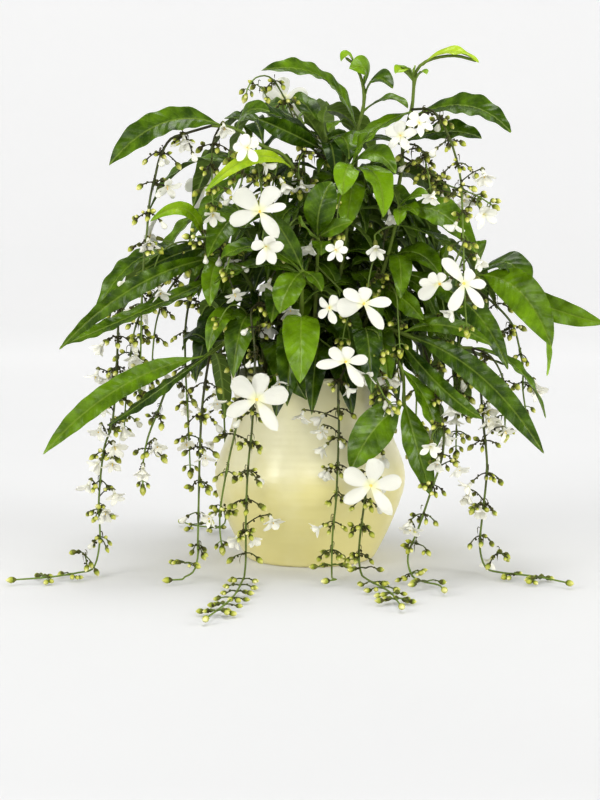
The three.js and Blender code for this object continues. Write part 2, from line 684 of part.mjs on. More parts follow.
// All stems first, then the chains' own stalks, so that leaves and arms can keep clear of them
const stems = new Map();
for (const { name, root, path, leaves } of STEMS) {
  const curve = curveOf(stemPoints(root[0], root[1], path.map(seen)));
  const points = curve.getPoints(Math.round((path.length + 2) * 1.3));
  stems.set(name, { points, leaves });
}
const farChance = randomiser(41);
FAR_STEMS.forEach(([azimuth, reach, height, pairs], index) => {
  const root = around(azimuth, FAR_ROOT_RADIUS, 0);
  const path = [
    around(azimuth, reach * 0.52, mix(STEM_THROAT, height, 0.42)),
    around(azimuth, reach * 0.8, mix(STEM_THROAT, height, 0.86)),
    around(azimuth, reach, height),
    around(azimuth + 6, reach * 1.22, height - 6),
  ];
  const points = curveOf(stemPoints(root.x, root.y, path)).getPoints(FAR_STEM_STEPS);
  const leaves = [];
  for (let pair = 0; pair < pairs; pair += 1) {
    for (const side of [-1, 1]) {
      const share = mix(0.6, 0.97, pair / (pairs - 1));
      const base = placeOn(points, share);
      const turn = azimuth + side * mix(96, 26, pair / (pairs - 1)) + mix(-8, 8, farChance());
      const length = mix(FAR_LEAF_LENGTH[0], FAR_LEAF_LENGTH[1], farChance());
      const width = mix(FAR_LEAF_WIDTH[0], FAR_LEAF_WIDTH[1], farChance());
      const droop = mix(0.18, 0.46, farChance());
      const over = base.clone().add(around(turn, length * 0.5, length * 0.12));
      const to = base.clone().add(around(turn, length * 0.92, -length * droop));
      leaves.push({ base, over, to, width, roll: side * mix(10, 34, farChance()) });
    }
  }
  stems.set(`far_${index + 1}`, { points, leaves });
});
for (const [name, stem] of stems) {
  const radii = taper(STEM_RADIUS, stem.points.length);
  stem.padded = bar(stem.points, radii, STEM_SIDES, SEAT_GAP);
  stem.node = addNode(`leafy_stem_${name}`, LEAF_GREEN, 0.42, [bar(stem.points, radii, STEM_SIDES)]);
}
let soilSolid = lathe([[0, SOIL_FLOOR], ...SOIL_OUTLINE, [0, SOIL_CROWN]]);
for (const stem of stems.values()) soilSolid = soilSolid.subtract(stem.padded);
soil.solids.push(soilSolid);

// A chain hangs along its path, and what is left of its length lies along the surface
function chainPoints(start, path, lies, towards) {
  const points = [start, ...path];
  if (lies > 0) {
    const last = points[points.length - 1];
    const run = (ahead, aside, height) =>
      new THREE.Vector3(last.x, last.y, height)
        .add(around(towards, ahead, 0))
        .add(around(towards + 90, aside, 0));
    points.push(run(7, 0, LIE_HEIGHT + 3));
    points.push(run(24, 1, LIE_HEIGHT));
    points.push(run(mix(24, lies, 0.5), 5, LIE_HEIGHT));
    points.push(run(lies, -2, LIE_HEIGHT));
  }
  return points;
}

const chains = new Map();

// The chain's own stalk, ending in a bud. Whorls of buds come halfway between its corners.
function chainBar(curve, radii, spacing) {
  const whorls = Math.max(1, Math.round(curve.getLength() / spacing) - 1);
  const points = curve.getSpacedPoints(whorls);
  const end = points[whorls];
  const ahead = curve.getTangentAt(1);
  const bud = end.clone().addScaledVector(ahead, 5);
  const tip = end.clone().addScaledVector(ahead, 10);
  const solid = bar([...points, bud, tip], [...taper(radii, whorls + 1), BUD_RADIUS, 0], 3);
  return { points, solid };
}

function addChain(name, stem, start, path, lies, towards) {
  const curve = curveOf(chainPoints(start, path, lies, towards));
  const { points, solid } = chainBar(curve, CHAIN_RADIUS, WHORL_SPACING);
  const pieces = solid.subtract(stem.padded).decompose().sort((a, b) => b.volume() - a.volume());
  const node = addNode(`flower_chain_${name}`, CHAIN_GREEN, 0.5, [pieces[0]]);
  chains.set(name, { points, node });
}

for (const [name, stemName, from, lies, towards, path] of CHAINS) {
  const stem = stems.get(stemName);
  const start = shownOn(stem.points, from);
  addChain(name, stem, start, path.map(seen), lies, towards);
}
FAR_CHAINS.forEach(([index, foot, lies]) => {
  const stem = stems.get(`far_${index + 1}`);
  const start = placeOn(stem.points, 0.985);
  const azimuth = THREE.MathUtils.radToDeg(Math.atan2(start.y, start.x));
  const reach = Math.hypot(start.x, start.y);
  const hang = Math.max(reach + 22, FAR_HANG_RADIUS);
  const path = [
    around(azimuth, mix(reach, hang, 0.6), start.z - 12),
    around(azimuth, hang, start.z - 50),
    around(azimuth - 2, hang + 2, mix(foot, start.z, 0.55)),
    around(azimuth - 3, hang, mix(foot, start.z, 0.26)),
    around(azimuth - 3, hang - 2, foot),
  ];
  addChain(`far_${index + 1}`, stem, start, path, lies, azimuth + 8);
});
for (const [name, stemName, from, path] of SPRAYS) {
  const stem = stems.get(stemName);
  const start = shownOn(stem.points, from);
  const curve = curveOf([start, ...path.map(seen)]);
  const { points, solid } = chainBar(curve, SPRAY_RADIUS, SPRAY_SPACING);
  stem.node.solids.push(solid);
  chains.set(name, { points, node: stem.node });
}

// Leaves of all stems, the shown ones first
for (const { leaves, points, node } of stems.values()) {
  for (const blade of leaves) {
    const base = blade.base ?? shownOn(points, blade.from);
    placeLeaf(node, { ...blade, base });
  }
}

function innerLeaf(base, azimuth, chance) {
  const turned = azimuth + mix(-60, 60, chance());
  const length = mix(INNER_LENGTH[0], INNER_LENGTH[1], chance());
  const droop = length * mix(0.2, 0.6, chance());
  const over = base.clone().add(around(turned, length * 0.48, length * 0.14));
  const to = base.clone().add(around(turned, length * 0.8, -droop));
  return { base, over, to, width: mix(INNER_WIDTH[0], INNER_WIDTH[1], chance()), roll: 30 * chance() };
}

const innerChance = randomiser(97);
for (const [name, { points, node }] of stems) {
  const near = !name.startsWith('far');
  for (const share of near ? INNER_SHARES : FAR_INNER_SHARES) {
    const base = placeOn(points, near ? share * Math.min(1, INNER_POINTS / points.length) : share);
    const outward = THREE.MathUtils.radToDeg(Math.atan2(base.y - (near ? 20 : 0), base.x));
    const azimuth = near ? mix(outward, -90, 0.35) : outward;
    let tries = INNER_TRIES;
    while (tries > 0 && !placeLeaf(node, innerLeaf(base, azimuth, innerChance))) tries -= 1;
  }
}

// Blooms, each seated on a stalk that grows from its stem or chain. One in the way of something moves
// along the line of sight, or aside.
const BLOOM_SHIFTS = [
  [0, 0], [6, 0], [-6, 0], [12, 0], [18, 0], [0, 6], [0, -6], [12, 6], [12, -6], [-12, 0], [24, 0], [30, 0],
  [24, 8], [24, -8], [0, 12], [0, -12], [36, 0], [36, 12], [36, -12],
];

function stalkTo(bloom, from) {
  const foot = bloom.centre.clone().addScaledVector(bloom.face, -bloom.size * BLOOM_TUBE - SEAT_GAP);
  const back = foot.clone().addScaledVector(bloom.face, -7);
  const bow = from.clone().lerp(back, 0.6).addScaledVector(bloom.face, -6);
  const points = [...new THREE.QuadraticBezierCurve3(from, bow, back).getPoints(3), foot];
  return bar(points, taper(STALK_RADIUS, points.length), 3);
}

function addBloom(name, carrier, from, bloom) {
  const moved = BLOOM_SHIFTS.map(([nearer, higher]) => {
    const centre = bloom.centre.clone().addScaledVector(bloom.face, nearer).addScaledVector(UP, higher);
    return { ...bloom, centre };
  });
  const free = moved.find((choice) => {
    const blossom = bloomSolid(choice, SEAT_GAP / 2);
    return clearOf(blossom, []) && clearOf(stalkTo(choice, from), [carrier]);
  });
  if (!free) return;
  carrier.solids.push(stalkTo(free, from));
  addNode(name, PETAL_WHITE, 0.45, [bloomSolid(free)]);
}

function facing(yaw, pitch) {
  const level = Math.cos(THREE.MathUtils.degToRad(pitch));
  const turn = THREE.MathUtils.degToRad(yaw);
  const rise = Math.sin(THREE.MathUtils.degToRad(pitch));
  return new THREE.Vector3(level * Math.sin(turn), -level * Math.cos(turn), rise);
}

BLOOMS.forEach(([holder, from, place, size, yaw, pitch, spin], index) => {
  const [kind, name] = holder.split(' ');
  const carrier = kind === 'stem' ? stems.get(name) : chains.get(name);
  const start = shownOn(carrier.points, from);
  const bloom = { centre: seen(place), face: facing(yaw, pitch), size, spin };
  addBloom(`bloom_${index + 1}`, carrier.node, start, bloom);
});
FAR_BLOOMS.forEach(([index, share, out, above, size], order) => {
  const stem = stems.get(`far_${index + 1}`);
  const start = placeOn(stem.points, share);
  const azimuth = THREE.MathUtils.radToDeg(Math.atan2(start.y, start.x));
  const centre = start.clone().add(around(azimuth, out, above));
  const bloom = { centre, face: around(azimuth, 0.96, 0.28).normalize(), size, spin: 20 * order };
  addBloom(`bloom_${BLOOMS.length + order + 1}`, stem.node, start, bloom);
});

// Whorls of buds. A pair in the way of something is turned round its chain, or left out.
const PAIR_TURNS = [0, 24, -24, 48, -48, 72, -72, 90];

function acrossChain(ahead, turn) {
  const level = Math.abs(ahead.z) < 0.6;
  const across = level ? ahead.clone().cross(UP) : RIGHT.clone().addScaledVector(ahead, -ahead.x);
  across.normalize();
  const aside = ahead.clone().cross(across);
  const angle = THREE.MathUtils.degToRad(turn);
  return across.multiplyScalar(Math.cos(angle)).addScaledVector(aside, Math.sin(angle));
}

let chainSeed = 7;
for (const { points, node } of chains.values()) {
  chainSeed += 1;
  const chance = randomiser(chainSeed);
  for (let i = 0; i + 1 < points.length; i += 1) {
    const centre = points[i].clone().lerp(points[i + 1], 0.5);
    const ahead = points[i + 1].clone().sub(points[i]).normalize();
    const lying = centre.z < LIE_HEIGHT + 14;
    const spread = lying ? mix(-4, 4, chance()) : mix(-55, 55, chance());
    const reach = mix(ARM_LENGTH[0], ARM_LENGTH[1], chance()) * mix(1, 0.75, i / points.length);
    const pairs = PAIR_TURNS.map((turn) => acrossChain(ahead, spread + turn));
    const free = pairs.find((across) => {
      const pair = budPair(centre, across, reach, lying, SEAT_GAP / 2);
      return pair.boundingBox().min[2] > 0.3 && clearOf(pair, [node]);
    });
    if (free) node.solids.push(budPair(centre, free, reach, lying));
  }
}

// The finished group
const plant = new THREE.Group();
for (const { name, colour, roughness, solids } of nodes) {
  const whole = solidOf(geometryOf(wasm.Manifold.union(solids))).simplify(SMALLEST_STEP);
  const pieces = whole.decompose().sort((a, b) => b.volume() - a.volume());
  const material = new THREE.MeshStandardMaterial({ color: colour, roughness, metalness: 0 });
  const mesh = new THREE.Mesh(geometryOf(pieces[0]), material);
  mesh.name = name;
  plant.add(mesh);
}
export default plant;
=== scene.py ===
"""A potted chain of glory: an arching shrub with glossy pointed leaves and long hanging chains of buds.

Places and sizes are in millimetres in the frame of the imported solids, and turn to metres where a mesh is
made. Each piece follows the rule of the solid that it stands for, at a finer grain. Where a solid was bent
aside to keep clear of its neighbours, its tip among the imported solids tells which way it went.
"""

import logging
import math
from collections.abc import Callable
from dataclasses import dataclass, replace
from enum import Enum
from functools import cache, partial

import bpy
import numpy as np
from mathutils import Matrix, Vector
from mathutils.kdtree import KDTree


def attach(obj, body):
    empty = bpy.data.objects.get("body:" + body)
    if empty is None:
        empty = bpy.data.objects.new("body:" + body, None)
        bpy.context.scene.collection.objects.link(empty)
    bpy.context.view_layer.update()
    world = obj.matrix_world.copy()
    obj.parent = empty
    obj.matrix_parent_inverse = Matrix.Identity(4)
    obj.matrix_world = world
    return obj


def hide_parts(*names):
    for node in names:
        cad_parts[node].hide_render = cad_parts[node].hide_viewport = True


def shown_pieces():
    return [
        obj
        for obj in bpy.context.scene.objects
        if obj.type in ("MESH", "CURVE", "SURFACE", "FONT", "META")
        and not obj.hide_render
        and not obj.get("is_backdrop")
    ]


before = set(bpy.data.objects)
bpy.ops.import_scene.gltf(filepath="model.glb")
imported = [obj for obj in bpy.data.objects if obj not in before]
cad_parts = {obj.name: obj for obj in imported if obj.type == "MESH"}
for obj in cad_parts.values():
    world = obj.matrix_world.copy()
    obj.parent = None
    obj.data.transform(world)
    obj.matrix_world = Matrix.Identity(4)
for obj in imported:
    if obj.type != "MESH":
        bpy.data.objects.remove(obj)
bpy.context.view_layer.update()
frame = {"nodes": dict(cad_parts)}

log = logging.getLogger("chain_of_glory")

Point = np.ndarray
METRE = 0.001

# The view: where the eye is, how far it looks down, and the distance of the sheet that holds the shown
# places, on which a millimetre is a millimetre on the plant
EYE = np.array([-10.0, -1880.0, 359.0])
SIGHT_PITCH = math.radians(6.1)
SHEET_DISTANCE = 1889.0
SIGHT = np.array([0.0, math.cos(SIGHT_PITCH), -math.sin(SIGHT_PITCH)])
SHEET_UP = np.array([0.0, math.sin(SIGHT_PITCH), math.cos(SIGHT_PITCH)])
UP = np.array([0.0, 0.0, 1.0])
RIGHT = np.array([1.0, 0.0, 0.0])
VIEWER_SIDE = np.array([0.0, -1.0, 0.0])

# Sizes shared with the solids
POT_OUTSIDE = [
    [66.5, 4], [79, 28], [90, 56], [95.8, 70], [97.9, 80], [96.6, 90], [86.2, 114], [74.6, 144], [74.8, 165],
    [79.6, 184],
]
POT_LIP = [[79.5, 185.2], [78.8, 186.4], [77.4, 187], [76.0, 186.5], [75.1, 185.2]]
POT_INSIDE = [[74.6, 183.5], [69, 164], [68.6, 145], [90, 84], [62, 9]]
SOIL_RADIUS = 68.2
SOIL_EDGE = 162.0
SOIL_CROWN = 168.0
STEM_FOOT = 142.0
STEM_THROAT = 198.0
STEM_FLARE = 1.3
STEM_RADIUS = (2.9, 1.5)
CHAIN_RADIUS = (1.5, 0.9)
WHORL_SPACING = 48.0
SPRAY_RADIUS = (1.2, 0.8)
SPRAY_SPACING = 30.0
LIE_HEIGHT = 5.5
LYING_BELOW = LIE_HEIGHT + 14
BUD_RADIUS = 3.1
BUD_PLUMPNESS = 0.38
ARM_LENGTH = (18.0, 25.0)
LEAF_FOLD = 0.24
LEAF_WAVE = 1.6
BLOOM_TUBE = 0.3
SEAT_GAP = 0.3
VEIN_SPACING = 9.0
LOWEST = np.array([-math.inf, -math.inf, 0.0])
VEIN_SLANT = 0.95
# Petals broader than this half width get painted shade
PAINTED_SHADE_PETAL_HALF = 3.8


# Small sums


def mix(low: float, high: float, share: float) -> float:
    """The value at a share of the way from low to high."""
    return low + (high - low) * share


def unit(way: Point) -> Point:
    """The same direction, one long."""
    return way / math.sqrt(float(way @ way))


def turns(count: int) -> np.ndarray:
    """Even turns round a circle, from 0, in radians."""
    return np.arange(count) * 2 * math.pi / count


def crosswise(ahead: Point) -> tuple[Point, Point]:
    """Two ways square to a way and to each other, one long."""
    side = unit(np.cross(ahead, RIGHT if abs(ahead[0]) < 0.8 else UP))
    return side, np.cross(ahead, side)


def closed_rows(upper: np.ndarray, under: np.ndarray) -> list[np.ndarray]:
    """Rows of points that run across an upper face and back across the face under it."""
    return [np.vstack([over, below[::-1]]) for over, below in zip(upper, under[:, 1:-1])]


def around(azimuth: float, radius: float, height: float) -> Point:
    """A place at an azimuth in degrees, 0 to the right and 90 straight behind."""
    angle = math.radians(azimuth)
    return np.array([radius * math.cos(angle), radius * math.sin(angle), height])


def azimuth_of(place: Point) -> float:
    """The azimuth of a place, in degrees."""
    return math.degrees(math.atan2(place[1], place[0]))


def sheet_place(point: Point) -> tuple[float, float]:
    """Where a point shows on the sheet, right and up of its middle.

    Args:
        point: a place, in millimetres.

    Returns:
        How far right and up of the sheet's middle it shows.
    """
    ray = point - EYE
    scale = SHEET_DISTANCE / float(ray @ SIGHT)
    return float(ray[0]) * scale, float(ray @ SHEET_UP) * scale


SHEET_ZERO = sheet_place(np.zeros(3))


def seen(spot: tuple[float, float, float]) -> Point:
    """The place that shows at right, up of the plant's foot and lies at the depth that comes third.

    Args:
        spot: right, up and depth, in millimetres.

    Returns:
        The place.
    """
    right, up, depth = spot
    ray = SIGHT * SHEET_DISTANCE + RIGHT * (right + SHEET_ZERO[0]) + SHEET_UP * (up + SHEET_ZERO[1])
    return EYE + ray * ((depth - EYE[1]) / ray[1])


class Chance:
    """Seeded draws, the same as the solids' own."""

    MASK = 0xFFFFFFFF
    STEP = 0x6D2B79F5

    def __init__(self, seed: int) -> None:
        """Starts a row of draws from a seed."""
        self.state = seed & self.MASK

    def draw(self) -> float:
        """The next draw, from 0 to 1.

        Returns:
            The draw.
        """
        self.state = (self.state + self.STEP) & self.MASK
        t = self.state
        t = ((t ^ (t >> 15)) * (t | 1)) & self.MASK
        t ^= (t + (((t ^ (t >> 7)) * (t | 61)) & self.MASK)) & self.MASK
        return ((t ^ (t >> 14)) & self.MASK) / (self.MASK + 1)

    def between(self, low: float, high: float) -> float:
        """The next draw, from low to high."""
        return mix(low, high, self.draw())

    def either_way(self, reach: float) -> float:
        """The next draw, from a reach below 0 to the same above it."""
        return self.between(-reach, reach)


class SmoothCurve:
    """A Catmull-Rom curve through points, of any number of dimensions."""

    FINENESS = 200
    NEAR = 0.004

    def __init__(self, points: list) -> None:
        """Takes the points that the curve passes through.

        Args:
            points: its points, two numbers or three each.
        """
        rows = np.array([np.asarray(p, float) for p in points])
        self.rows = np.vstack([2 * rows[0] - rows[1], rows, 2 * rows[-1] - rows[-2]])
        self.spans = len(rows) - 1
        self.shares = np.linspace(0, 1, self.FINENESS + 1)
        steps = np.diff(self.at(self.shares), axis=0)
        self.run = np.concatenate([[0], np.cumsum(np.sqrt((steps**2).sum(1)))])
        self.length = float(self.run[-1])

    def at(self, shares: np.ndarray) -> np.ndarray:
        """Points at shares of the row of points.

        Args:
            shares: numbers from 0 to 1.

        Returns:
            One row for each share.
        """
        place = np.atleast_1d(shares) * self.spans
        span = np.minimum(place.astype(int), self.spans - 1)
        w = (place - span)[:, None]
        a, b, c, d = (self.rows[span + k] for k in range(4))
        leave, reach = 0.5 * (c - a), 0.5 * (d - b)
        return (
            b + leave * w + (-3 * b + 3 * c - 2 * leave - reach) * w**2
            + (2 * b - 2 * c + leave + reach) * w**3
        )

    def along(self, shares: np.ndarray) -> np.ndarray:
        """Points at shares of the curve's length."""
        return self.at(np.interp(np.atleast_1d(shares) * self.length, self.run, self.shares))

    def ahead(self, share: float) -> Point:
        """The direction at a share of the curve's length."""
        near, far = self.along([max(share - self.NEAR, 0), min(share + self.NEAR, 1)])
        return unit(far - near)


def place_on(points: np.ndarray, share: float) -> Point:
    """The place at a share of a row of points.

    Args:
        points: the row.
        share: from 0 at its start to 1 at its end.

    Returns:
        The place.
    """
    step = min(share * (len(points) - 1), len(points) - 1.0001)
    before = int(step)
    return mix(points[before], points[before + 1], step - before)


def shown_on(points: np.ndarray, spot: tuple[float, float]) -> Point:
    """The place on a row of points that shows nearest to a spot, right and up of the plant's foot.

    Args:
        points: the row.
        spot: how far right and up.

    Returns:
        The nearest place on the lines between its points.
    """
    steps = 400

    def miss(place: Point) -> float:
        """How far off the spot a place shows."""
        right, up = sheet_place(place)
        return math.hypot(right - SHEET_ZERO[0] - spot[0], up - SHEET_ZERO[1] - spot[1])

    return min((place_on(points, i / steps) for i in range(steps + 1)), key=miss)


@dataclass
class PackedSolids:
    """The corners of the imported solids, by node, to look up where a tip was placed."""

    nodes: dict
    near: float = 0.45

    def __post_init__(self) -> None:
        """Starts with no tree of corners."""
        self.trees: dict[str, KDTree] = {}

    def holds(self, node: str, point: Point) -> bool:
        """Whether a node has a corner at a point, given in millimetres.

        Args:
            node: the solid's node.
            point: the place.

        Returns:
            True where a corner lies within a hair of it.
        """
        if node not in self.trees:
            corners = self.nodes[node].data.vertices
            tree = KDTree(len(corners))
            for index, corner in enumerate(corners):
                tree.insert(corner.co, index)
            tree.balance()
            self.trees[node] = tree
        return self.trees[node].find(Vector(point * METRE))[2] < self.near * METRE


# Finishes


# Sockets of the nodes that are used by number, and settings that many of them share
FACTOR, FIRST, SECOND = 0, 6, 7
VECTOR = 1
OBJECT = 3
COLOURS = {"output": 2, "data_type": "RGBA"}
SMOOTH = {"interpolation_type": "SMOOTHSTEP"}


def linear(colour: str) -> tuple[float, float, float, float]:
    """The linear value of an sRGB colour.

    Args:
        colour: the colour as #rrggbb.

    Returns:
        Red, green, blue and a full alpha.
    """
    parts = [int(colour[i : i + 2], 16) / 255 for i in (1, 3, 5)]
    even = [p / 12.92 if p <= 0.04045 else ((p + 0.055) / 1.055) ** 2.4 for p in parts]
    return (*even, 1.0)


def add_node(
    tree: bpy.types.NodeTree, kind: str, inputs: dict, output: int = 0, **settings: object
) -> bpy.types.NodeSocket | None:
    """Adds a shader node with its settings and links.

    Args:
        tree: the node tree of a material or of the world.
        kind: the node's type, without the word ShaderNode.
        inputs: its sockets by name or number, each given a value, a #rrggbb colour or a linked output.
        output: the number of the output that is wanted.
        **settings: its properties by name.

    Returns:
        The wanted output, or None where it has none.
    """
    node = tree.nodes.new(f"ShaderNode{kind}")
    for name, value in settings.items():
        setattr(node, name, value)
    for name, value in inputs.items():
        if isinstance(value, bpy.types.NodeSocket):
            tree.links.new(value, node.inputs[name])
        else:
            node.inputs[name].default_value = linear(value) if isinstance(value, str) else value
    return node.outputs[output] if node.outputs else None


def start_material(name: str) -> tuple[bpy.types.Material, Callable, bpy.types.NodeSocket]:
    """Starts a material.

    Args:
        name: what the material is and how it is made.

    Returns:
        The material, add_node for its tree, and the place that its patterns read.
    """
    material = bpy.data.materials.new(name)
    material.use_nodes = True
    material.node_tree.nodes.clear()
    add = partial(add_node, material.node_tree)
    return material, add, add("TexCoord", {}, OBJECT)


def growth_marks(add: Callable) -> tuple:
    """The marks that each point of a skin carries: how far across and along it lies, and its tone."""
    marks = add("Attribute", {}, VECTOR, attribute_name="growth")
    return tuple(add("SeparateXYZ", {0: marks}).node.outputs)


def per_mm(size: float) -> float:
    """The scale of a pattern whose repeat is a number of millimetres."""
    return 1 / (size * METRE)


@dataclass(frozen=True)
class WaxyLeafFace:
    """Upper face of a living leaf: a thin waxy skin over green flesh. The eye gets a soft broken gloss."""

    deep: str = "#1e3604"
    bright: str = "#769a10"
    young: str = "#a3bb24"
    rib: str = "#9aae50"

    def material(self) -> bpy.types.Material:
        """Builds the material.

        Returns:
            The material.
        """
        made, add, where = start_material("living_leaf_waxy_face")
        across, along, tone = growth_marks(add)
        aside = add("Math", {0: across}, operation="ABSOLUTE")
        # Side veins leave the rib every 9 mm and run forward. Each is 0.3 mm wide, drawn at 0.8 mm to show
        forward = add("Math", {0: aside, 1: -VEIN_SLANT, 2: along}, operation="MULTIPLY_ADD")
        from_vein = add("Math", {0: forward, 1: VEIN_SPACING / 2}, operation="PINGPONG")
        vein = add("MapRange", {"Value": from_vein, "From Min": 0.8, "From Max": 0.1, "To Max": 0.07}, **SMOOTH)
        rib = add("MapRange", {"Value": aside, "From Min": 1.1, "From Max": 0.3, "To Max": 0.36}, **SMOOTH)
        # The flesh is uneven in patches of about 14 mm
        mottle = add("TexNoise", {"Vector": where, "Scale": per_mm(14), "Detail": 3.0})
        shade = add("Math", {0: mottle, 1: 0.9, 2: tone}, operation="MULTIPLY_ADD")
        ripe = add("MapRange", {"Value": shade, "From Min": 0.46, "From Max": 1.38}, **SMOOTH)
        fresh = add("MapRange", {"Value": shade, "From Min": 1.25, "From Max": 1.8}, **SMOOTH)
        flesh = add("Mix", {FACTOR: ripe, FIRST: self.deep, SECOND: self.bright}, **COLOURS)
        flesh = add("Mix", {FACTOR: fresh, FIRST: flesh, SECOND: self.young}, **COLOURS)
        veined = add("Mix", {FACTOR: vein, FIRST: flesh, SECOND: self.rib}, **COLOURS)
        ribbed = add("Mix", {FACTOR: rib, FIRST: veined, SECOND: self.rib}, **COLOURS)
        # The film of wax is thicker in spots of about 5 mm
        film = add("TexNoise", {"Vector": where, "Scale": per_mm(5), "Detail": 2.0})
        rough = add("MapRange", {"Value": film, "From Min": 0.3, "From Max": 0.7, "To Min": 0.2, "To Max": 0.32})
        # The net of fine veins has cells of about 1 mm, drawn at 1.8 mm to show
        net = add("TexVoronoi", {"Vector": where, "Scale": per_mm(1.8)}, feature="DISTANCE_TO_EDGE")
        grooves = add("Math", {0: vein, 1: -8.0, 2: net}, operation="MULTIPLY_ADD")
        normal = add("Bump", {"Height": grooves, "Distance": 0.14 * METRE, "Strength": 0.5})
        # Plant wax has an IOR of about 1.43
        shader = add("BsdfPrincipled", {"Base Color": ribbed, "Roughness": rough, "Normal": normal, "IOR": 1.43,
                                        "Specular IOR Level": 0.32})
        add("OutputMaterial", {"Surface": shader})
        return made


@dataclass(frozen=True)
class MattLeafBack:
    """Underside of a living leaf: no wax. The eye gets a paler, duller olive with raised veins."""

    flesh: str = "#4e651f"
    pale: str = "#8ba24b"

    def material(self) -> bpy.types.Material:
        """Builds the material.

        Returns:
            The material.
        """
        made, add, where = start_material("living_leaf_matt_back")
        across, along, tone = growth_marks(add)
        aside = add("Math", {0: across}, operation="ABSOLUTE")
        forward = add("Math", {0: aside, 1: -VEIN_SLANT, 2: along}, operation="MULTIPLY_ADD")
        from_vein = add("Math", {0: forward, 1: VEIN_SPACING / 2}, operation="PINGPONG")
        vein = add("MapRange", {"Value": from_vein, "From Min": 0.8, "From Max": 0.1, "To Max": 0.5}, **SMOOTH)
        rib = add("MapRange", {"Value": aside, "From Min": 1.3, "From Max": 0.5, "To Max": 0.6}, **SMOOTH)
        lines = add("Math", {0: vein, 1: rib}, operation="MAXIMUM")
        # Blotches are about 9 mm across, and the down is uneven every 3 mm
        mottle = add("TexNoise", {"Vector": where, "Scale": per_mm(9), "Detail": 2.0})
        shade = add("Math", {0: mottle, 1: tone}, operation="MULTIPLY")
        flesh = add("Mix", {FACTOR: shade, FIRST: self.flesh, SECOND: self.pale}, **COLOURS)
        lined = add("Mix", {FACTOR: lines, FIRST: flesh, SECOND: self.pale}, **COLOURS)
        down = add("TexNoise", {"Vector": where, "Scale": per_mm(3), "Detail": 2.0})
        rough = add("MapRange", {"Value": down, "To Min": 0.42, "To Max": 0.62})
        normal = add("Bump", {"Height": lines, "Distance": 0.3 * METRE, "Strength": 0.8})
        shader = add("BsdfPrincipled", {"Base Color": lined, "Roughness": rough, "Normal": normal, "IOR": 1.4,
                                        "Specular IOR Level": 0.35})
        add("OutputMaterial", {"Surface": shader})
        return made


@dataclass(frozen=True)
class YoungBark:
    """Bark of a young stem: brown corky streaks on green skin. The eye gets a dull stem, green at its end."""

    green: str = "#65782a"
    brown: str = "#463a21"

    def material(self) -> bpy.types.Material:
        """Builds the material.

        Returns:
            The material.
        """
        made, add, where = start_material("young_bark_streaked")
        *_, tone = growth_marks(add)
        # Cork streaks are about 3.5 mm apart, and their cracks about 1.2 mm
        streaks = add("TexNoise", {"Vector": where, "Scale": per_mm(3.5), "Detail": 4.0})
        cracks = add("TexNoise", {"Vector": where, "Scale": per_mm(1.2), "Detail": 3.0})
        age = add("Math", {0: tone, 1: 0.7, 2: streaks}, operation="MULTIPLY_ADD")
        green = add("MapRange", {"Value": age, "From Min": 0.5, "From Max": 1.1}, **SMOOTH)
        bark = add("Mix", {FACTOR: green, FIRST: self.brown, SECOND: self.green}, **COLOURS)
        rough = add("MapRange", {"Value": streaks, "To Min": 0.45, "To Max": 0.7})
        normal = add("Bump", {"Height": cracks, "Distance": 0.3 * METRE, "Strength": 0.6})
        shader = add("BsdfPrincipled", {"Base Color": bark, "Roughness": rough, "Normal": normal, "IOR": 1.45,
                                        "Specular IOR Level": 0.35})
        add("OutputMaterial", {"Surface": shader})
        return made


@dataclass(frozen=True)
class GreenStalk:
    """Stalk of a hanging chain: smooth green skin. The eye gets a thin satin line, dark olive where old."""

    fresh: str = "#6c8230"
    old: str = "#2e2b14"

    def material(self) -> bpy.types.Material:
        """Builds the material.

        Returns:
            The material.
        """
        made, add, where = start_material("green_stalk_smooth")
        *_, tone = growth_marks(add)
        # Patches of age are about 6 mm long
        patches = add("TexNoise", {"Vector": where, "Scale": per_mm(6), "Detail": 3.0})
        shade = add("Math", {0: patches, 1: 0.6, 2: tone}, operation="MULTIPLY_ADD")
        green = add("MapRange", {"Value": shade, "From Min": 0.4, "From Max": 1.2}, **SMOOTH)
        skin = add("Mix", {FACTOR: green, FIRST: self.old, SECOND: self.fresh}, **COLOURS)
        rough = add("MapRange", {"Value": patches, "To Min": 0.34, "To Max": 0.54})
        shader = add("BsdfPrincipled", {"Base Color": skin, "Roughness": rough, "IOR": 1.42,
                                        "Specular IOR Level": 0.45})
        add("OutputMaterial", {"Surface": shader})
        return made


@dataclass(frozen=True)
class DriedCup:
    """Cup of a bud, and the bracts: thin dry skin. The eye gets dull dark olive knobs with paler rims."""

    dark: str = "#353019"
    olive: str = "#6e7231"

    def material(self) -> bpy.types.Material:
        """Builds the material.

        Returns:
            The material.
        """
        made, add, where = start_material("bud_cup_dried")
        _, along, tone = growth_marks(add)
        # Dry patches are about 2.5 mm across
        patches = add("TexNoise", {"Vector": where, "Scale": per_mm(2.5), "Detail": 3.0})
        shade = add("Math", {0: tone, 1: 0.7, 2: patches}, operation="MULTIPLY_ADD")
        green = add("MapRange", {"Value": shade, "From Min": 0.5, "From Max": 1.3}, **SMOOTH)
        skin = add("Mix", {FACTOR: green, FIRST: self.dark, SECOND: self.olive}, **COLOURS)
        rough = add("MapRange", {"Value": along, "To Min": 0.5, "To Max": 0.62})
        shader = add("BsdfPrincipled", {"Base Color": skin, "Roughness": rough, "IOR": 1.4,
                                        "Specular IOR Level": 0.3})
        add("OutputMaterial", {"Surface": shader})
        return made


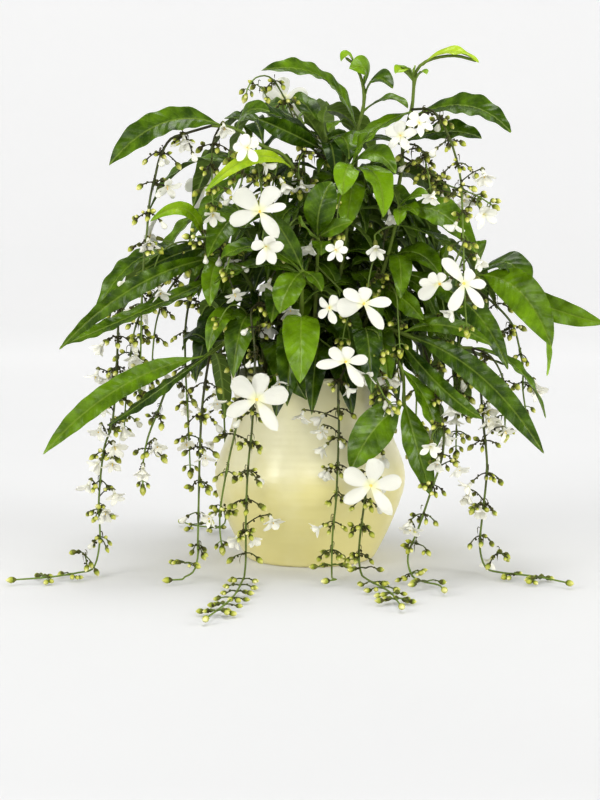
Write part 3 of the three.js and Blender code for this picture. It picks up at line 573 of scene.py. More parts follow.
@dataclass(frozen=True)
class PlumpBud:
    """Closed bud: smooth taut skin. The eye gets a satin bead, green at the cup and creamy at the point."""

    green: str = "#74861f"
    ripe: str = "#b2b445"
    cream: str = "#efebb8"

    def material(self) -> bpy.types.Material:
        """Builds the material.

        Returns:
            The material.
        """
        made, add, where = start_material("flower_bud_taut_skin")
        _, along, tone = growth_marks(add)
        # Blushes are about 3 mm across
        blush = add("TexNoise", {"Vector": where, "Scale": per_mm(3), "Detail": 3.0})
        shade = add("Math", {0: blush, 1: 0.5, 2: along}, operation="MULTIPLY_ADD")
        ripe = add("MapRange", {"Value": shade, "From Min": 0.4, "From Max": 0.95}, **SMOOTH)
        pale = add("MapRange", {"Value": shade, "From Min": 0.7, "From Max": 1.3}, **SMOOTH)
        pale = add("Math", {0: pale, 1: tone}, operation="MULTIPLY")
        skin = add("Mix", {FACTOR: ripe, FIRST: self.green, SECOND: self.ripe}, **COLOURS)
        skin = add("Mix", {FACTOR: pale, FIRST: skin, SECOND: self.cream}, **COLOURS)
        rough = add("MapRange", {"Value": blush, "To Min": 0.28, "To Max": 0.48})
        shader = add("BsdfPrincipled", {"Base Color": skin, "Roughness": rough, "IOR": 1.42,
                                        "Subsurface Weight": 0.15, "Subsurface Scale": 1.2 * METRE,
                                        "Subsurface Radius": (1.0, 1.0, 0.6)})
        add("OutputMaterial", {"Surface": shader})
        return made


@dataclass(frozen=True)
class SoftPetal:
    """Petal: thin, white and velvety. The eye gets white that light passes through, with faint veins."""

    white: str = "#f7f5e6"
    # shade is the grey painted onto broad petals: painted shade
    shade: str = "#b6b7ae"
    vein: str = "#deddd0"
    root: str = "#e6e6a4"

    def material(self) -> bpy.types.Material:
        """Builds the material.

        Returns:
            The material.
        """
        made, add, where = start_material("petal_soft_white")
        across, along, thin = growth_marks(add)
        # Veins run the petal's length, about 1.6 mm apart
        from_vein = add("Math", {0: across, 1: 0.8}, operation="PINGPONG")
        veins = add("MapRange", {"Value": from_vein, "From Min": 0.45, "From Max": 0.0, "To Max": 0.35}, **SMOOTH)
        root = add("MapRange", {"Value": along, "From Min": 0.3, "From Max": 0.03, "To Max": 0.7}, **SMOOTH)
        # Broad petals are painted greyer than small ones: painted shade that tones down the stronger light on the
        # large flowers. The mark named thin is 1 on small petals, less on broad ones, and 0.5 on buds and tubes
        body = add("Mix", {FACTOR: thin, FIRST: self.shade, SECOND: self.white}, **COLOURS)
        faint = add("Mix", {FACTOR: veins, FIRST: body, SECOND: self.vein}, **COLOURS)
        petal = add("Mix", {FACTOR: root, FIRST: faint, SECOND: self.root}, **COLOURS)
        # The velvet of the skin is finer than a hair, drawn at 2 mm
        velvet = add("TexNoise", {"Vector": where, "Scale": per_mm(2), "Detail": 2.0})
        rough = add("MapRange", {"Value": velvet, "To Min": 0.42, "To Max": 0.58})
        normal = add("Bump", {"Height": veins, "Distance": 0.06 * METRE, "Strength": 0.4})
        shader = add("BsdfPrincipled", {"Base Color": petal, "Roughness": rough, "Normal": normal, "IOR": 1.38,
                                        "Specular IOR Level": 0.3, "Subsurface Weight": 0.45,
                                        "Subsurface Scale": 3.5 * METRE, "Subsurface Radius": (1.0, 1.0, 0.92)})
        add("OutputMaterial", {"Surface": shader})
        return made


@dataclass(frozen=True)
class PollenEye:
    """Throat and anthers of a flower: loose pollen. The eye gets a small powdery yellow and orange spot."""

    yellow: str = "#f4e07c"
    orange: str = "#e6ad45"

    def material(self) -> bpy.types.Material:
        """Builds the material.

        Returns:
            The material.
        """
        made, add, where = start_material("pollen_powdery")
        # Clots of pollen are about 0.9 mm across
        powder = add("TexNoise", {"Vector": where, "Scale": per_mm(0.9), "Detail": 3.0})
        clots = add("MapRange", {"Value": powder, "From Min": 0.4, "From Max": 0.7}, **SMOOTH)
        pollen = add("Mix", {FACTOR: clots, FIRST: self.yellow, SECOND: self.orange}, **COLOURS)
        rough = add("MapRange", {"Value": powder, "To Min": 0.6, "To Max": 0.8})
        normal = add("Bump", {"Height": powder, "Distance": 0.3 * METRE, "Strength": 1.0})
        shader = add("BsdfPrincipled", {"Base Color": pollen, "Roughness": rough, "Normal": normal, "IOR": 1.4,
                                        "Specular IOR Level": 0.2})
        add("OutputMaterial", {"Surface": shader})
        return made


@dataclass(frozen=True)
class GlazedStoneware:
    """Thrown and glazed stoneware: a thick glassy coat. The eye gets soft gloss over cream, warmer lower down."""

    light: str = "#ece7c2"
    pooled: str = "#ddd494"

    def material(self) -> bpy.types.Material:
        """Builds the material.

        Returns:
            The material.
        """
        made, add, where = start_material("stoneware_glazed_pale_yellow")
        height = add("SeparateXYZ", {0: where}, 2)
        # Glaze runs down before it sets, so it lies thicker on the lower belly, in patches of about 50 mm
        low = add("MapRange", {"Value": height, "From Min": 130 * METRE, "From Max": 30 * METRE, "To Max": 0.5},
                  **SMOOTH)
        patches = add("TexNoise", {"Vector": where, "Scale": per_mm(50), "Detail": 3.0})
        pool = add("Math", {0: low, 1: patches}, operation="ADD")
        thick = add("MapRange", {"Value": pool, "From Min": 0.4, "From Max": 1.0}, **SMOOTH)
        glaze = add("Mix", {FACTOR: thick, FIRST: self.light, SECOND: self.pooled}, **COLOURS)
        # Its gloss is clouded in spots of about 20 mm
        cloud = add("TexNoise", {"Vector": where, "Scale": per_mm(20), "Detail": 4.0})
        rough = add("MapRange", {"Value": cloud, "To Min": 0.4, "To Max": 0.5})
        # Throwing rings are about 7 mm apart and wander. The fired skin has an orange-peel about 4 mm wide
        rings = add("TexWave", {"Vector": where, "Scale": per_mm(7) / 20, "Distortion": 1.6, "Detail": 2.0,
                                "Detail Scale": 0.6}, 1, wave_type="BANDS", bands_direction="Z")
        peel = add("TexNoise", {"Vector": where, "Scale": per_mm(4), "Detail": 2.0})
        skin = add("Math", {0: rings, 1: 0.6, 2: peel}, operation="MULTIPLY_ADD")
        normal = add("Bump", {"Height": skin, "Distance": 0.02 * METRE, "Strength": 0.2})
        # Glaze is a glass, of IOR 1.5
        shader = add("BsdfPrincipled", {"Base Color": glaze, "Roughness": rough, "Normal": normal, "IOR": 1.5,
                                        "Coat Weight": 0.4, "Coat Roughness": 0.2, "Coat IOR": 1.5})
        add("OutputMaterial", {"Surface": shader})
        return made


@dataclass(frozen=True)
class MoistSoil:
    """Potting soil: moist crumbs of peat and bark. The eye gets a dull dark bed with the odd paler fibre."""

    dark: str = "#20160f"
    brown: str = "#4b3524"
    pale: str = "#7a6148"

    def material(self) -> bpy.types.Material:
        """Builds the material.

        Returns:
            The material.
        """
        made, add, where = start_material("potting_soil_crumbled")
        # Crumbs are about 4 mm across, and paler fibres about 2.2 mm
        crumbs = add("TexNoise", {"Vector": where, "Scale": per_mm(4), "Detail": 6.0})
        litter = add("TexNoise", {"Vector": where, "Scale": per_mm(2.2), "Detail": 2.0})
        brown = add("MapRange", {"Value": crumbs, "From Min": 0.35, "From Max": 0.65}, **SMOOTH)
        fibres = add("MapRange", {"Value": litter, "From Min": 0.66, "From Max": 0.72}, **SMOOTH)
        ground = add("Mix", {FACTOR: brown, FIRST: self.dark, SECOND: self.brown}, **COLOURS)
        strewn = add("Mix", {FACTOR: fibres, FIRST: ground, SECOND: self.pale}, **COLOURS)
        rough = add("MapRange", {"Value": crumbs, "To Min": 0.65, "To Max": 0.95})
        normal = add("Bump", {"Height": crumbs, "Distance": 1.2 * METRE, "Strength": 1.0})
        shader = add("BsdfPrincipled", {"Base Color": strewn, "Roughness": rough, "Normal": normal, "IOR": 1.4,
                                        "Specular IOR Level": 0.25})
        add("OutputMaterial", {"Surface": shader})
        return made


class Look(Enum):
    """What a face is made of."""

    LEAF_FACE = WaxyLeafFace()
    LEAF_BACK = MattLeafBack()
    BARK = YoungBark()
    STALK = GreenStalk()
    CUP = DriedCup()
    BUD = PlumpBud()
    PETAL = SoftPetal()
    EYE = PollenEye()
    GLAZE = GlazedStoneware()
    SOIL = MoistSoil()


@cache
def material_for(look: Look) -> bpy.types.Material:
    """The material for a look, made the first time that it is asked for."""
    return look.value.material()


# Meshes


def put_in_scene(name: str, data: bpy.types.ID) -> bpy.types.Object:
    """Adds an object with its data to the scene, at the origin."""
    made = bpy.data.objects.new(name, data)
    bpy.context.scene.collection.objects.link(made)
    return made


class Skin:
    """Gathers closed skins and turns them into one piece."""

    CREASE = math.radians(52)

    def __init__(self) -> None:
        """Starts empty."""
        self.points: list[np.ndarray] = []
        self.marks: list[np.ndarray] = []
        self.faces: list[list[int]] = []
        self.looks: list[int] = []
        self.wears: list[Look] = []
        self.count = 0

    def number(self, look: Look) -> int:
        """The piece's own number for a look.

        Args:
            look: which look.

        Returns:
            The number of its material slot.
        """
        if look not in self.wears:
            self.wears.append(look)
        return self.wears.index(look)

    def loft(self, rings: list[np.ndarray], look: Look, marks: list[np.ndarray],
             back: Look | None = None) -> None:
        """Adds a closed skin over a row of rings.

        Args:
            rings: arrays of points, all of one size, or of one point at either end for a tip.
            look: what it is made of.
            marks: the growth marks of each ring's points.
            back: the look of the second half of each ring's sides, where it differs.
        """
        sides = max(len(ring) for ring in rings)
        points = np.vstack(rings)
        full = [i for i, ring in enumerate(rings) if len(ring) == sides]
        starts = np.cumsum([0] + [len(ring) for ring in rings])
        near = np.arange(sides)
        after = (near + 1) % sides
        first = starts[full[:-1]][:, None]
        grid = np.stack([first + near, first + after, first + sides + after, first + sides + near], 2)
        faces = grid.reshape(-1, 4)
        corners = points[faces] - points.mean(0)
        volume = np.einsum("ij,ij->", np.cross(corners[:, 0], corners[:, 1]), corners[:, 2])
        volume += np.einsum("ij,ij->", np.cross(corners[:, 0], corners[:, 2]), corners[:, 3])
        turned = volume < 0
        rows = faces.tolist()
        own = self.number(look)
        other = own if back is None else self.number(back)
        column = np.where(near < sides // 2, own, other)
        looks = np.tile(column, len(full) - 1).tolist()
        head, tail = starts[full[0]], starts[full[-1]]
        if full[0] > 0:
            rows += [[0, int(head + k), int(head + j)] for j, k in zip(near, after)]
            looks += column.tolist()
        else:
            rows.append([int(head + j) for j in near[::-1]])
            looks.append(own)
        if full[-1] < len(rings) - 1:
            rows += [[int(tail + j), int(tail + k), len(points) - 1] for j, k in zip(near, after)]
            looks += column.tolist()
        else:
            rows.append([int(tail + j) for j in near])
            looks.append(own)
        self.points.append(points)
        self.marks.append(np.vstack(marks))
        for row in rows:
            self.faces.append([self.count + i for i in (row[::-1] if turned else row)])
        self.looks += looks
        self.count += len(points)

    def tube(self, points: np.ndarray, radii: list[float], sides: int, look: Look,
             tone: float | np.ndarray) -> None:
        """Adds a round stalk through points, with its own radius at each. A radius of 0 is a tip.

        Args:
            points: the points that it runs through.
            radii: its radius at each.
            sides: how many sides it has.
            look: its finish.
            tone: the mark of age that its finish reads, one for all or one for each point.
        """
        tones = np.broadcast_to(tone, len(points))
        side = np.array([0.31, 0.82, 0.48])
        angles = turns(sides)
        turn = np.stack([np.cos(angles), np.sin(angles)], 1)
        run = 0.0
        rings, marks = [], []
        for i, point in enumerate(points):
            before, after = points[max(i - 1, 0)], points[min(i + 1, len(points) - 1)]
            ahead = unit(after - before)
            side = unit(side - ahead * float(side @ ahead))
            other = np.cross(ahead, side)
            run += math.dist(point, points[i - 1]) if i else 0.0
            if radii[i] == 0:
                rings.append(point[None, :])
            else:
                rings.append(point + radii[i] * (turn[:, :1] * side + turn[:, 1:] * other))
            marks.append(np.tile([0.0, run, tones[i]], (len(rings[-1]), 1)))
        self.loft(rings, look, marks)

    def spindle(self, start: Point, ahead: Point, shape: tuple, size: tuple[float, float],
                sides: int, look: Look, tone: float, teeth: float = 0.0) -> None:
        """Adds a turned form, such as a bud.

        Args:
            start: where its axis starts.
            ahead: the axis, one long.
            shape: rows of how far along and how wide, as shares of its size.
            size: its length and its greatest radius.
            sides: corners of each ring.
            look: what it is made of.
            tone: its mark of age.
            teeth: how far every second corner of the last ring stands forward.
        """
        length, radius = size
        side, other = crosswise(ahead)
        angles = turns(sides)
        circle = np.cos(angles)[:, None] * side + np.sin(angles)[:, None] * other
        rings, marks = [], []
        for along, wide in shape:
            middle = start + ahead * (length * along)
            rings.append(middle[None, :] if wide == 0 else middle + circle * (radius * wide))
            marks.append(np.tile([0.0, min(max(along, 0), 1), tone], (len(rings[-1]), 1)))
        if teeth:
            rings[-2] = rings[-2] + ahead * (teeth * (np.arange(sides) % 2)[:, None])
        self.loft(rings, look, marks)

    def piece(self, name: str, slot: str, replaced: list[str]) -> bpy.types.Object:
        """Makes the gathered skins into one piece on the root body.

        Args:
            name: the piece's name.
            slot: the record's material slot. It is not used.
            replaced: the solids that it stands for.

        Returns:
            The new object.
        """
        mesh = bpy.data.meshes.new(name)
        # What lies on the surface is flattened where it touches it
        points = np.maximum(np.vstack(self.points), LOWEST)
        mesh.from_pydata((points * METRE).tolist(), [], self.faces)
        for look in self.wears:
            mesh.materials.append(material_for(look))
        mesh.polygons.foreach_set("material_index", self.looks)
        marks = mesh.attributes.new("growth", "FLOAT_VECTOR", "POINT")
        marks.data.foreach_set("vector", np.vstack(self.marks).astype(np.float32).ravel())
        mesh.polygons.foreach_set("use_smooth", [True] * len(mesh.polygons))
        mesh.set_sharp_from_angle(angle=self.CREASE)
        mesh.update()
        made = put_in_scene(name, mesh)
        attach(made, "root")
        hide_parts(*replaced)
        log.info("%s: %d faces", name, len(self.faces))
        return made


# Leaves


@dataclass(frozen=True)
class Blade:
    """A leaf as it is placed: its base on the stem, its crown and its tip."""

    base: Point
    over: Point
    to: Point
    width: float
    roll: float
    tone: float = 0.4

    def bent(self, bend: tuple[float, float]) -> "Blade":
        """The same leaf, bent towards the viewer and up at its tip by so many millimetres.

        Args:
            bend: how far towards the viewer and how far up.

        Returns:
            The bent leaf.
        """
        over, to = (
            point + unit(EYE - point) * (bend[0] * share) + UP * (bend[1] * share)
            for point, share in ((self.over, CROWN_BEND), (self.to, 1))
        )
        return replace(self, over=over, to=to)


# How far a leaf may be bent out of the way of another stem: towards the viewer, and up at its tip. Its crown
# moves by a share of that
CROWN_BEND = 0.55
LEAF_BENDS = [
    (0, 0), (8, 0), (-8, 0), (0, 8), (0, -8), (16, 0), (-16, 0), (10, 10), (-10, 10), (10, -10), (-10, -10),
    (24, 0), (-24, 0), (0, 18), (0, -18), (24, 14), (-24, 14), (24, -14), (-24, -14), (36, 0), (-36, 0),
]


@dataclass(frozen=True)
class LeafGrain:
    """How finely a leaf is meshed: the step along it, and its points across as shares of its half width."""

    station: float
    across: tuple


FINE_GRAIN = LeafGrain(3.0, (-1, -0.86, -0.62, -0.34, -0.09, 0, 0.09, 0.34, 0.62, 0.86, 1))
PLAIN_GRAIN = LeafGrain(4.5, (-1, -0.8, -0.48, -0.12, 0, 0.12, 0.48, 0.8, 1))


@dataclass
class LeafMaker:
    """Grows leaves: a petiole, then a long pointed blade, folded along its rib, with waved edges.

    It adds them to its skin, and its chance draws their waves and tones.
    """

    skin: Skin
    chance: Chance
    thickness: float = 0.7
    petiole: float = 1.05
    groove: float = 0.3
    keel: float = 0.75
    broad_width: float = 24
    tone_spread: float = 0.24
    wave_crest: float = 0.52
    wave_length: float = 0.56
    quilting: float = 1.0
    ripple: float = 1.5
    ripple_length: float = 21.0
    outline: tuple = (
        (0, 0), (0.06, 0.05), (0.13, 0.32), (0.24, 0.7), (0.38, 0.94), (0.52, 1), (0.66, 0.95), (0.8, 0.75),
        (0.9, 0.46), (0.96, 0.22), (1, 0),
    )

    def __post_init__(self) -> None:
        """Smooths the outline."""
        self.line = SmoothCurve(self.outline).at(np.linspace(0, 1, 161))

    def half_width(self, along: np.ndarray) -> np.ndarray:
        """The blade's half width at shares of its length, as a share of its greatest."""
        return np.clip(np.interp(along, self.line[:, 0], self.line[:, 1]), 0, 1)

    def edge(self, start: np.ndarray, length: float, half: float) -> np.ndarray:
        """How far from the rib the side veins meet the leaf's edge.

        Args:
            start: where each pair of veins leaves the rib, from the leaf's base.
            length: the leaf's length.
            half: its greatest half width.

        Returns:
            The distance from the rib for each pair.
        """
        aside = half * self.half_width(start / length)
        for _ in range(14):
            aside = (aside + half * self.half_width((start + VEIN_SLANT * aside) / length)) / 2
        return aside

    @staticmethod
    def spine(blade: Blade, along: np.ndarray) -> tuple[np.ndarray, np.ndarray, np.ndarray]:
        """Where a leaf's rib runs.

        Args:
            blade: the leaf.
            along: shares of its length.

        Returns:
            At each share the rib's place, the way that the face looks and the way to its side.
        """
        handle = 2 * blade.over - 0.5 * blade.base - 0.5 * blade.to
        leave, reach = unit(handle - blade.base), unit(blade.to - handle)
        plane = np.cross(leave, reach)
        plane = np.cross(leave, UP) if np.linalg.norm(plane) < 1e-3 else plane
        plane = unit(plane)
        if plane @ VIEWER_SIDE < 0:
            plane = -plane
        sag = (blade.base + blade.to) / 2 - blade.over
        rib = (
            np.outer((1 - along) ** 2, blade.base) + np.outer(2 * along * (1 - along), handle)
            + np.outer(along**2, blade.to)
        )
        ahead = np.outer(1 - along, handle - blade.base) + np.outer(along, blade.to - handle)
        ahead /= np.linalg.norm(ahead, axis=1)[:, None]
        crown = np.cross(plane, ahead)
        crown *= np.where(crown @ sag > 0, -1.0, 1.0)[:, None]
        roll = math.radians(blade.roll)
        face = crown * math.cos(roll) + plane * math.sin(roll)
        side = np.cross(ahead, face)
        side /= np.linalg.norm(side, axis=1)[:, None]
        return rib, face, side

    def sketch(self, blade: Blade) -> np.ndarray:
        """A few points of a leaf's rib and edges, to find room for it.

        Args:
            blade: the leaf's place.

        Returns:
            The points.
        """
        along = np.linspace(0.2, 1, 9)
        rib, _, side = self.spine(blade, along)
        aside = side * self.half_width(along)[:, None] * blade.width * 0.45
        return np.vstack([rib, rib + aside, rib - aside])

    def grow(self, blade: Blade, grain: LeafGrain = FINE_GRAIN) -> None:
        """Adds one leaf. Each row of its mesh runs out along a pair of side veins.

        Args:
            blade: the leaf's place.
            grain: how finely it is meshed.
        """
        length = (math.dist(blade.base, blade.over) + math.dist(blade.over, blade.to)) * 1.03
        start = np.arange(0, length - grain.station * 0.4, grain.station)
        share = self.half_width(start / length)
        u = np.array(grain.across)
        x = np.maximum(self.edge(start, length, blade.width / 2), self.petiole)[:, None] * u
        y = np.minimum(start[:, None] + VEIN_SLANT * np.abs(x), length * 0.998)
        rib, face, side = (way.reshape(*x.shape, 3) for way in self.spine(blade, y.ravel() / length))
        broad = min(1.0, blade.width / self.broad_width)
        wave = -np.cos(2 * math.pi * (y / length - self.wave_crest) / self.wave_length) * LEAF_WAVE
        wave = wave * np.minimum(1, share * 1.6)[:, None]
        phase, lean = self.chance.between(0, 2 * math.pi), self.chance.either_way(0.5)
        ripple = self.ripple * broad * share[:, None] * np.abs(u) ** 2.2 * np.sin(
            2 * math.pi * y / self.ripple_length + phase + 1.3 * np.sign(u)
        )
        lift = share[:, None] * blade.width * 0.5 * LEAF_FOLD * np.abs(u) ** 1.35
        lift = lift + wave * broad * np.sign(u) * np.abs(u) ** 1.5 + ripple
        # The flesh between two side veins stands proud of them
        pillow = 0.5 - 0.5 * np.cos(2 * math.pi * start / VEIN_SPACING)
        pillow = (self.quilting * broad * np.minimum(1, share * 1.5) * pillow)[:, None]
        pillow = pillow * (1 - np.abs(u) ** 4) * (np.abs(u) > 0.01)
        groove = self.groove * np.exp(-((x / 1.1) ** 2)) * np.minimum(1, share * 2)[:, None]
        body = self.thickness * (1 - 0.6 * np.abs(u) ** 3) / 2
        stout = (1 - np.minimum(1, share * 4))[:, None] * 0.5 * (1 - u**2)
        keel = self.keel * np.exp(-((x / 1.3) ** 2)) * (1 - 0.8 * start / length)[:, None]
        top = lift + pillow - groove + body + stout
        low = lift + pillow - body - stout - keel
        middle = rib + side * x[:, :, None]
        upper = middle + face * top[:, :, None]
        under = middle + face * low[:, :, None]
        tone = np.full_like(x, blade.tone + self.tone_spread * lean)
        signs = np.stack([x, y, tone], 2)
        rings, marks = closed_rows(upper, under), closed_rows(signs, signs)
        rings.append(blade.to[None, :])
        marks.append(np.array([[0.0, length, blade.tone]]))
        self.skin.loft(rings, Look.LEAF_FACE, marks, Look.LEAF_BACK)


class Crowd:
    """The places that are taken, so that a leaf which fills a gap finds room."""

    def __init__(self) -> None:
        """Starts with nothing taken."""
        self.taken: list[np.ndarray] = []

    def take(self, points: np.ndarray) -> None:
        """Marks places as taken."""
        self.taken.append(points)

    def room(self, points: np.ndarray) -> float:
        """How far the nearest taken place is from some points."""
        other = np.vstack(self.taken)
        return math.sqrt(float(((points[:, None] - other[None]) ** 2).sum(2).min()))


# Buds and flowers


@dataclass(frozen=True)
class PetalShape:
    """One petal's sizes in millimetres and its curves as shares of its length or width."""

    begin: float
    reach: float
    half: float
    pointed: float
    fall: float
    cup: float
    twist: float
    phase: float


@dataclass
class BudMaker:
    """Grows buds in their cups, spent cups, bracts, petals and small flowers.

    It adds them to its skin, and its chance draws their sizes and tones.
    """

    skin: Skin
    chance: Chance
    bud: tuple = ((0.0, 0.4), (0.14, 0.78), (0.34, 1), (0.56, 0.93), (0.78, 0.6), (0.93, 0.22), (1, 0))
    cup: tuple = ((-0.16, 0.28), (-0.06, 0.52), (0.08, 0.8), (0.2, 0.95), (0.1, 0))
    white_bud: tuple = ((0.05, 0.36), (0.3, 0.42), (0.5, 0.7), (0.7, 1), (0.86, 0.86), (0.96, 0.4), (1, 0))
    spent_cup: tuple = ((0, 0.45), (0.45, 0.45), (0.62, 0.95), (1, 0.82), (0.8, 0))
    small_tube: tuple = ((0, 0.6), (0.4, 0.62), (0.85, 0.95), (1, 1), (0.9, 0))
    small_eye: tuple = ((0, 0.4), (0.6, 0.5), (0.8, 1), (0.95, 0.9), (1, 0))
    small_bud: float = 6.4
    cup_tones: tuple = (0.3, 1)
    round_petal: tuple = (0.2, 0.42, 0.7, 0.93, 1.0, 0.93, 0.7, 0.24)
    pointed_petal: tuple = (0.18, 0.42, 0.78, 1.0, 0.93, 0.66, 0.36, 0.05)
    petal_shares: tuple = (0, 0.14, 0.32, 0.52, 0.7, 0.84, 0.94, 1)

    def grow_bud(self, start: Point, ahead: Point, size: tuple[float, float]) -> None:
        """Adds a bud in its cup.

        Args:
            start: where its cup starts.
            ahead: the way that it points, one long.
            size: its length and its greatest radius.
        """
        ripe = self.chance.draw()
        sides = 8 if size[0] > self.small_bud else 6
        self.skin.spindle(start, ahead, self.bud, size, sides, Look.BUD, ripe)
        self.skin.spindle(start, ahead, self.cup, size, sides, Look.CUP, self.chance.between(*self.cup_tones),
                          size[0] * 0.07)

    def grow_white_bud(self, start: Point, ahead: Point, length: float) -> None:
        """Adds a white bud that is about to open, plump towards its end, in its cup.

        Args:
            start: where its cup starts.
            ahead: the way that it points, one long.
            length: its length.
        """
        self.skin.spindle(start, ahead, self.white_bud, (length, length * 0.3), 8, Look.PETAL, 0.5)
        self.skin.spindle(start, ahead, self.cup, (length * 0.6, length * 0.19), 8, Look.CUP,
                          self.chance.between(*self.cup_tones), length * 0.05)

    def grow_spent_cup(self, start: Point, ahead: Point, size: float) -> None:
        """Adds a small knob of a radius: the cup of a fallen flower, on its short stalk."""
        self.skin.spindle(start, ahead, self.spent_cup, (size * 2.6, size), 5, Look.CUP, self.chance.draw() * 0.5)

    def grow_bract(self, start: Point, out: Point, size: float) -> None:
        """Adds a thin withered bract that hangs beside the stalk.

        Args:
            start: where it leaves the stalk.
            out: the way that it leaves it, one long.
            size: its length.
        """
        bend = self.chance.between(0.25, 0.5)
        points = np.array([
            start, start + out * size * 0.3 + UP * 0.4, start + out * size * bend - UP * size * 0.35,
            start + out * size * (bend - 0.05) - UP * size * 0.95,
        ])
        self.skin.tube(SmoothCurve(points).at(np.linspace(0, 1, 5)), [0.42, 0.45, 0.4, 0.3, 0], 4,
                       Look.CUP, 0.5 * self.chance.draw())

    def grow_petal(self, root: Point, out: Point, face: Point, shape: PetalShape,
                   fineness: tuple[int, int]) -> None:
        """Adds one petal.

        Args:
            root: the flower's middle.
            out: the way that it points, one long.
            face: the way that its upper face looks, one long.
            shape: its sizes and curves.
            fineness: stations along and points across.
        """
        stations, points = fineness
        v = np.linspace(0, 1, stations + 1)
        u = np.linspace(-1, 1, points)
        wide = [mix(a, b, shape.pointed) for a, b in zip(self.round_petal, self.pointed_petal)]
        width = SmoothCurve(list(zip(self.petal_shares, wide))).at(np.linspace(0, 1, 60))
        share = np.interp(v, width[:, 0], width[:, 1])
        side = np.cross(out, face)
        distance = mix(shape.begin, shape.reach, v)[:, None]
        x = shape.half * share[:, None] * u
        fall = -shape.reach * shape.fall * (distance / shape.reach) ** 2
        lift = shape.cup * shape.half * np.abs(u) ** 2 * np.sin(math.pi * v)[:, None]
        lean = shape.twist * x * v[:, None]
        ripple = 0.07 * shape.half * np.sin(6 * v[:, None] + shape.phase + 2.2 * u) * np.abs(u) * 2 * v[:, None]
        height = fall + lift + lean + ripple
        thick = 0.26 * (1 - 0.5 * u**4)
        middle = root + out * distance[:, :, None] + side * x[:, :, None]
        upper = middle + face * (height + thick)[:, :, None]
        under = middle + face * (height - thick)[:, :, None]
        # The third mark, named thin, is the share of white that a petal keeps: the broader the petal, the more
        # painted shade it gets
        thin = min(1.0, PAINTED_SHADE_PETAL_HALF / shape.half)
        signs = np.stack([shape.half * u + 0 * x, v[:, None] + 0 * x, thin + 0 * x], 2)
        rings, marks = closed_rows(upper, under), closed_rows(signs, signs)
        self.skin.loft(rings, Look.PETAL, marks)

    def grow_small_flower(self, start: Point, ahead: Point, length: float) -> None:
        """Adds a small nodding flower, half open, in its cup.

        Args:
            start: where its cup starts.
            ahead: the way that it points, one long.
            length: its length from the cup to the ends of its petals.
        """
        skin, draw = self.skin, self.chance.between
        skin.spindle(start, ahead, self.cup, (length * 0.42, length * 0.14), 8, Look.CUP, 0.9)
        throat = start + ahead * length * 0.3
        skin.spindle(start, ahead, self.small_tube, (length * 0.34, length * 0.115), 6, Look.PETAL, 0.5)
        side, other = crosswise(ahead)
        open_angle = math.radians(draw(28, 62))
        spin = draw(0, 1.2)
        for petal in range(5):
            angle = spin + petal * 2 * math.pi / 5 + draw(-0.14, 0.14)
            away = side * math.cos(angle) + other * math.sin(angle)
            tilt = open_angle * draw(0.75, 1.2)
            out = away * math.sin(tilt) + ahead * math.cos(tilt)
            face = ahead * math.sin(tilt) - away * math.cos(tilt)
            shape = PetalShape(0.4, length * draw(0.64, 0.78), length * draw(0.19, 0.24), draw(0.2, 0.7),
                               draw(-0.08, 0.3), 0.3, draw(-0.3, 0.4), draw(0, 6))
            self.grow_petal(throat, out, face, shape, (6, 5))
        skin.spindle(throat, ahead, self.small_eye, (length * 0.26, 0.6), 6, Look.EYE, 0.5)


# Stems, chains and flowers, as they show: right and up of the plant's foot, then depth


